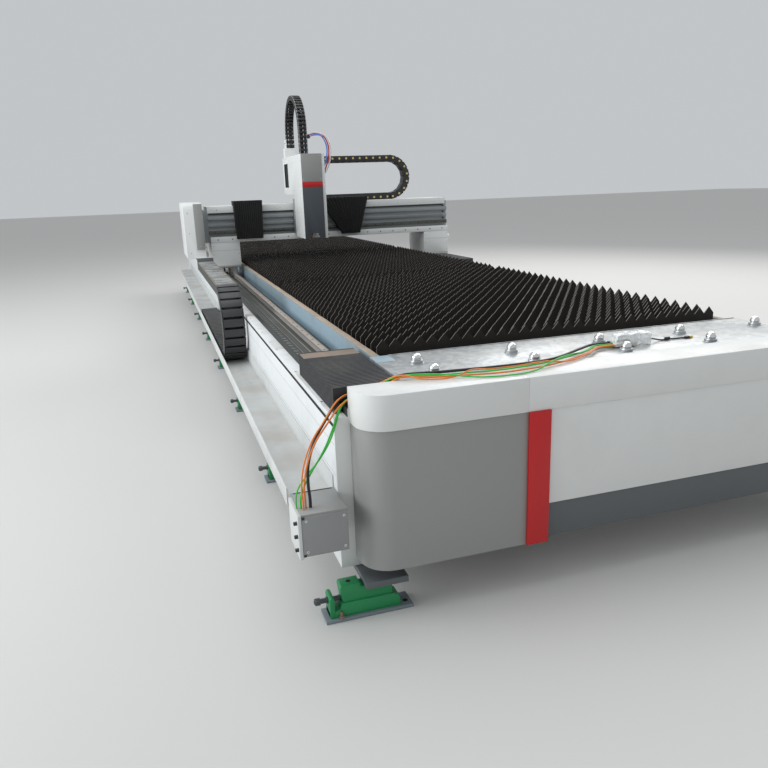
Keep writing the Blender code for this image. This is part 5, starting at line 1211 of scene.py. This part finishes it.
# Loose wires: two green and two orange wires and a black cable rise from the tray's end box, pass behind
# the cap's left end and lie over the cap, up to small plugs side by side. The second green and the
# second orange one cross over the others in long low humps.
wire_box = 0.4106
wire_lay = 0.768
wire_rest = 0.764
wire_end = 0.0294
wire_points = 40
wrap_low, wrap_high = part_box("wrapped_connectors")
green_wire = finish("green_wire", (0.05, 0.52, 0.06), 0.38, dust=0.1, scuffs=0.1)
orange_wire = finish("orange_wire", (0.78, 0.22, 0.03), 0.38, dust=0.1, scuffs=0.1)
black_cable = finish("black_cable", (0.016, 0.016, 0.018), 0.42, dust=0.15, scuffs=0.1)
plug_white = finish("plug_nylon_white", (0.70, 0.71, 0.68), 0.4, dust=0.2)
plug_green = finish("plug_green", (0.05, 0.30, 0.12), 0.4, dust=0.2)


def smooth_route(route, count):
    """Points at even steps along a smooth curve through the given ones."""
    points = [Vector(p) for p in route]
    points = [points[0] * 2 - points[1]] + points + [points[-1] * 2 - points[-2]]
    spans = len(points) - 3
    result = []
    for index in range(count):
        place = spans * index / (count - 1)
        span = min(int(place), spans - 1)
        t = place - span
        a, b, c, d = points[span:span + 4]
        result.append(0.5 * (2 * b + (c - a) * t + (2 * a - 5 * b + 4 * c - d) * t * t
                             + (3 * b - a - 3 * c + d) * t * t * t))
    return result


def wire(name, points, radius, coat):
    """Round cord along points, as one open curve that is smooth between them."""
    curve = bpy.data.curves.new(name, "CURVE")
    curve.dimensions = "3D"
    curve.bevel_depth = radius
    curve.bevel_resolution = 4
    curve.use_fill_caps = True
    curve.resolution_u = 3
    spline = curve.splines.new("BEZIER")
    spline.bezier_points.add(len(points) - 1)
    for point, place in zip(spline.bezier_points, points):
        point.co = place
        point.handle_left_type = point.handle_right_type = "AUTO"
    curve.materials.append(coat)
    spline.use_smooth = True
    return linked(name, curve)


green_route = [(-1.228, -4.33, wire_box), (-1.2275, -4.33, wire_box + 0.03), (-1.215, -4.322, 0.475),
               (-1.180, -4.305, 0.520), (-1.135, -4.287, 0.575), (-1.095, -4.264, 0.640),
               (-1.066, -4.240, 0.690), (-1.030, -4.224, 0.708), (-0.970, -4.224, 0.712),
               (-0.910, -4.228, 0.742), (-0.850, -4.243, wire_lay + 0.002), (-0.760, -4.262, wire_lay),
               (-0.62, -4.280, wire_lay), (-0.50, -4.290, wire_lay), (-0.32, -4.262, wire_lay),
               (-0.14, -4.185, wire_lay), (-0.05, -4.112, wire_rest), (0.0, -4.110, wire_rest),
               (wire_end, -4.110, wire_rest)]
orange_route = [(-1.213, -4.33, wire_box), (-1.213, -4.33, wire_box + 0.03), (-1.214, -4.332, 0.480),
                (-1.200, -4.325, 0.545), (-1.165, -4.305, 0.610), (-1.120, -4.280, 0.655),
                (-1.075, -4.252, 0.694), (-1.035, -4.236, 0.712), (-0.975, -4.2365, 0.714),
                (-0.915, -4.240, 0.744), (-0.860, -4.256, wire_lay + 0.004), (-0.760, -4.282, wire_lay),
                (-0.63, -4.308, wire_lay), (-0.52, -4.325, wire_lay), (-0.33, -4.300, wire_lay),
                (-0.15, -4.215, wire_lay), (-0.05, -4.134, wire_rest), (0.0, -4.127, wire_rest),
                (wire_end, -4.127, wire_rest)]
black_route = [(-1.198, -4.33, wire_box), (-1.198, -4.33, wire_box + 0.034), (-1.199, -4.322, 0.490),
               (-1.190, -4.305, 0.550), (-1.160, -4.285, 0.615), (-1.115, -4.258, 0.668),
               (-1.075, -4.228, 0.704), (-1.035, -4.212, 0.716), (-0.975, -4.2105, 0.718),
               (-0.910, -4.213, 0.742), (-0.850, -4.220, wire_lay + 0.001),
               (-0.70, -4.236, wire_lay + 0.001), (-0.48, -4.250, wire_lay), (-0.30, -4.235, wire_lay),
               (-0.14, -4.150, wire_lay), (-0.05, -4.092, wire_rest), (0.0, -4.090, wire_rest),
               (wire_end, -4.090, wire_rest)]
second_green = [(-1.2405, -4.322, wire_box), (-1.2405, -4.322, wire_box + 0.03), (-1.230, -4.315, 0.472),
                (-1.196, -4.297, 0.505), (-1.150, -4.283, 0.545), (-1.105, -4.268, 0.605),
                (-1.073, -4.247, 0.672), (-1.046, -4.232, 0.708), (-1.000, -4.230, 0.723),
                (-0.945, -4.232, 0.739), (-0.895, -4.240, 0.766), (-0.83, -4.262, wire_lay + 0.011),
                (-0.73, -4.305, wire_lay + 0.011), (-0.63, -4.338, wire_lay - 0.001),
                (-0.52, -4.358, wire_lay - 0.002), (-0.42, -4.342, wire_lay - 0.001),
                (-0.33, -4.296, wire_lay + 0.011), (-0.24, -4.246, wire_lay + 0.011),
                (-0.14, -4.1955, wire_lay + 0.002), (-0.05, -4.1200, wire_rest - 0.003),
                (0.0, -4.1190, wire_rest - 0.007), (wire_end, -4.1190, wire_rest - 0.007)]
second_orange = [(-1.2225, -4.3415, wire_box), (-1.2225, -4.3415, wire_box + 0.03),
                 (-1.224, -4.341, 0.480), (-1.212, -4.333, 0.548), (-1.178, -4.314, 0.618),
                 (-1.130, -4.286, 0.668), (-1.080, -4.246, 0.712), (-1.035, -4.2205, 0.727),
                 (-0.975, -4.219, 0.731), (-0.915, -4.224, 0.756), (-0.862, -4.262, wire_lay + 0.013),
                 (-0.80, -4.300, wire_lay + 0.002), (-0.71, -4.318, wire_lay + 0.002),
                 (-0.63, -4.290, wire_lay + 0.0115), (-0.55, -4.264, wire_lay), (-0.44, -4.266, wire_lay),
                 (-0.36, -4.292, wire_lay + 0.0115), (-0.27, -4.290, wire_lay + 0.002),
                 (-0.15, -4.2255, wire_lay), (-0.05, -4.1445, wire_rest), (0.0, -4.1365, wire_rest),
                 (wire_end, -4.1365, wire_rest)]
for word, route, radius, coat, slot, source, half, tall, plug_coat in (
        ("green", green_route, 0.003, green_wire, "green_wire", "wire_green", 0.0040, 0.0065, plug_green),
        ("orange", orange_route, 0.003, orange_wire, "orange_wire", "wire_orange", 0.0042, 0.0065,
         plug_white),
        ("black", black_route, 0.005, black_cable, "black_plastic", "cable_black", 0.0072, 0.0065,
         black_plastic),
        ("second_green", second_green, 0.0026, green_wire, "green_wire", None, 0.0030, 0.0030, plug_green),
        ("second_orange", second_orange, 0.0026, orange_wire, "orange_wire", None, 0.0034, 0.0065,
         plug_white)):
    y, z = route[-1][1:]
    plug = joined(word + "_plug", [
        bar((wrap_low.x + start, wrap_low.x + end), (y - half * wide, y + half * wide),
            (z + tall * low_share, z + tall * high_share), edge, coating)
        for start, end, wide, low_share, high_share, edge, coating in (
            (0.0006, 0.050, 1.0, -1.0, 1.0, 0.0008, plug_coat),
            (0.050, 0.064, 0.85, -0.85, 0.85, 0.0006, black_plastic),
            (0.064, 0.095, 0.95, -0.92, 0.92, 0.0006, plug_coat),
            (0.012, 0.040, 0.5, 0.9, 1.2, 0.0004, plug_coat))])
    fitted(plug, "bed")
    points = smooth_route([(x + bed_x, y, z) for x, y, z in route], wire_points)
    lead = fitted(wire("loose_wire_" + word, points, radius, coat), "bed", source)

# Sensor lead: a short black cable with a choke and a yellow-nosed plug. It runs out of the wrapped
# bundle and lies on the ball plate.
sensor_yellow = finish("sensor_plug_yellow", (0.75, 0.50, 0.03), 0.4, dust=0.1)
sensor_points = smooth_route([(x + bed_x, y, z) for x, y, z in (
    (0.2004, -4.110, 0.7672), (0.2150, -4.110, 0.7668), (0.2350, -4.108, 0.7620), (0.2600, -4.103, 0.7560),
    (0.2900, -4.101, 0.7556), (0.3250, -4.103, 0.7556), (0.3550, -4.107, 0.7556), (0.3700, -4.109, 0.7556))],
    24)
sensor_plug = joined("sensor_plug", [
    bar(across(1, 0.3695, 0.3900), (-4.1150, -4.1030), (0.7524, 0.7610), 0.0014, black_plastic),
    bar(across(1, 0.3895, 0.4040), (-4.1140, -4.1040), (0.7528, 0.7602), 0.0012, sensor_yellow)])
fitted(sensor_plug, "bed")
choke = pin((bed_x + 0.283, -4.1015, 0.7588), (0.020, 0, 0), 0.0064, 20, 0.0012, black_plastic,
            "sensor_choke")
fitted(choke, "bed")
sensor_lead = fitted(wire("loose_wire_sensor", sensor_points, 0.003, black_cable), "bed")

# Clear film: a thin crumpled wrap round the plugs, closed at both ends. It stands taller than its CAD
# node by its puff, and its folds come from noise.
wrap_middle = (wrap_low + wrap_high) / 2
wrap_half = (wrap_high - wrap_low) / 2
wrap_puff = 2.5
film, film_shader = shader("clear_film", {"Base Color": (0.90, 0.92, 0.93, 1.0), "Roughness": 0.22,
                                          "Alpha": 0.45, "Coat Weight": 0.6})
tree = film.node_tree
film_place = node(tree, "ShaderNodeTexCoord")
film_noise = node(tree, "ShaderNodeTexNoise", {"Scale": 55.0, "Detail": 3.0})
film_bump = node(tree, "ShaderNodeBump", {"Strength": 0.8, "Distance": 0.004})
film_alpha = node(tree, "ShaderNodeMapRange",
                  {"From Min": 0.35, "From Max": 0.65, "To Min": 0.32, "To Max": 0.88})
wired(tree, (film_place, "Object", film_noise, "Vector"), (film_noise, "Fac", film_bump, "Height"),
      (film_noise, "Fac", film_alpha, "Value"), (film_alpha, "Result", film_shader, "Alpha"),
      (film_bump, "Normal", film_shader, "Normal"))
deselect()
bpy.ops.mesh.primitive_cube_add(size=2.0)
wrap = active("clear_wrap_film")
edited((bpy.ops.mesh.subdivide, {"number_cuts": 15}))
for vertex in wrap.data.vertices:
    place = vertex.co.copy()
    round_share = 1.0 - 0.16 * max(0.0, place.length - 1.0)
    rough = noise.noise(place * 2.6) + 0.6 * noise.noise(place * 6.3 + Vector((4.0, 1.0, 2.0)))
    waist = 1.0 - 0.22 * math.sin((place.x + 0.2) * 3.0) ** 2
    x = wrap_middle.x + place.x * (wrap_half.x - 0.004) * round_share
    y = wrap_middle.y + place.y * (wrap_half.y - 0.003) * waist * (round_share - 0.05 + 0.10 * rough)
    rise = place.z * (wrap_half.z - 0.0018) * (round_share + 0.03 + 0.09 * rough)
    vertex.co = (min(max(x, wrap_low.x + 0.0002), wrap_high.x), min(max(y, wrap_low.y), wrap_high.y),
                 max(wrap_middle.z + (rise * wrap_puff if rise > 0 else rise), wrap_low.z))
ready(wrap, film, 60.0)
fitted(wrap, "bed", "wrapped_connectors")

# Hoses of the head: red, clear white and blue hoses loop from a block at the foot of the arched
# chain down to a second block on the head's right side.
hose_start = bed_x - 0.265 + 0.0003
hose_end = bed_x - 0.165 + 0.0003
hose_gap = 0.018
hose_radius = 0.006
hose_points = 30
hose_bulge = 0.02
block_y = (arch_front - 0.030, arch_front + 0.030)
parts = [bar((hose_start, hose_start + 0.020), block_y, (1.775, 1.805), 0.0015, black_plastic),
         bar((hose_end, hose_end + 0.020), block_y, (1.44, 1.49), 0.0015, black_plastic)]
for x, z, step in ((hose_start + 0.019, 1.790, (0.007, 0, 0.0035)), (hose_end + 0.011, 1.488, (0, 0, 0.010))):
    parts += pins([x], (arch_front - hose_gap, arch_front, arch_front + hose_gap), [z], step, 0.0078, 16,
                  0.001, bright_steel)
fitted(joined("hose_blocks", parts), "carriage", "head_hoses")
for word, row, tone in (("red", 0, (0.55, 0.04, 0.05)), ("white", 1, (0.75, 0.76, 0.78)),
                        ("blue", -1, (0.10, 0.22, 0.60))):
    bulge = hose_bulge * row
    y = arch_front + hose_gap * row
    points = smooth_route([
        (hose_start + 0.0105, y, 1.79), (bed_x - 0.200, y, 1.812 + bulge / 2),
        (bed_x - 0.125 + bulge, y, 1.790), (bed_x - 0.088 + bulge, y, 1.710),
        (bed_x - 0.095 + bulge, y, 1.610), (bed_x - 0.125 + bulge, y, 1.530),
        (hose_end + 0.0105, y, 1.465)], hose_points)
    coat = finish("hose_" + word, tone, 0.28, dust=0.1)
    hose = fitted(wire("head_hose_" + word, points, hose_radius, coat), "carriage")

# Closing plates of the side beams: the hollow ends that stand beside the covers are shut with
# white sheet, held by a small screw, so the cover's flat side return runs on to the beam.
for word, side in sides:
    low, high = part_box("bed_beam_" + word)
    for end, y, outward in (("front", low.y, -1), ("rear", high.y, 1)):
        cap = bar((low.x + 0.0008, high.x - 0.0008), (y + outward * 0.0002, y - outward * 0.004),
                  (low.z + 0.0008, 0.6590), 0.0006, white_paint)
        screw = pin((bed_x + side * 1.067, y, 0.335), (0, outward * 0.0002, 0), 0.0045, 14, 0.0,
                    bright_steel)
        fitted(joined("beam_end_%s_%s" % (end, word), [cap, screw]), "bed")
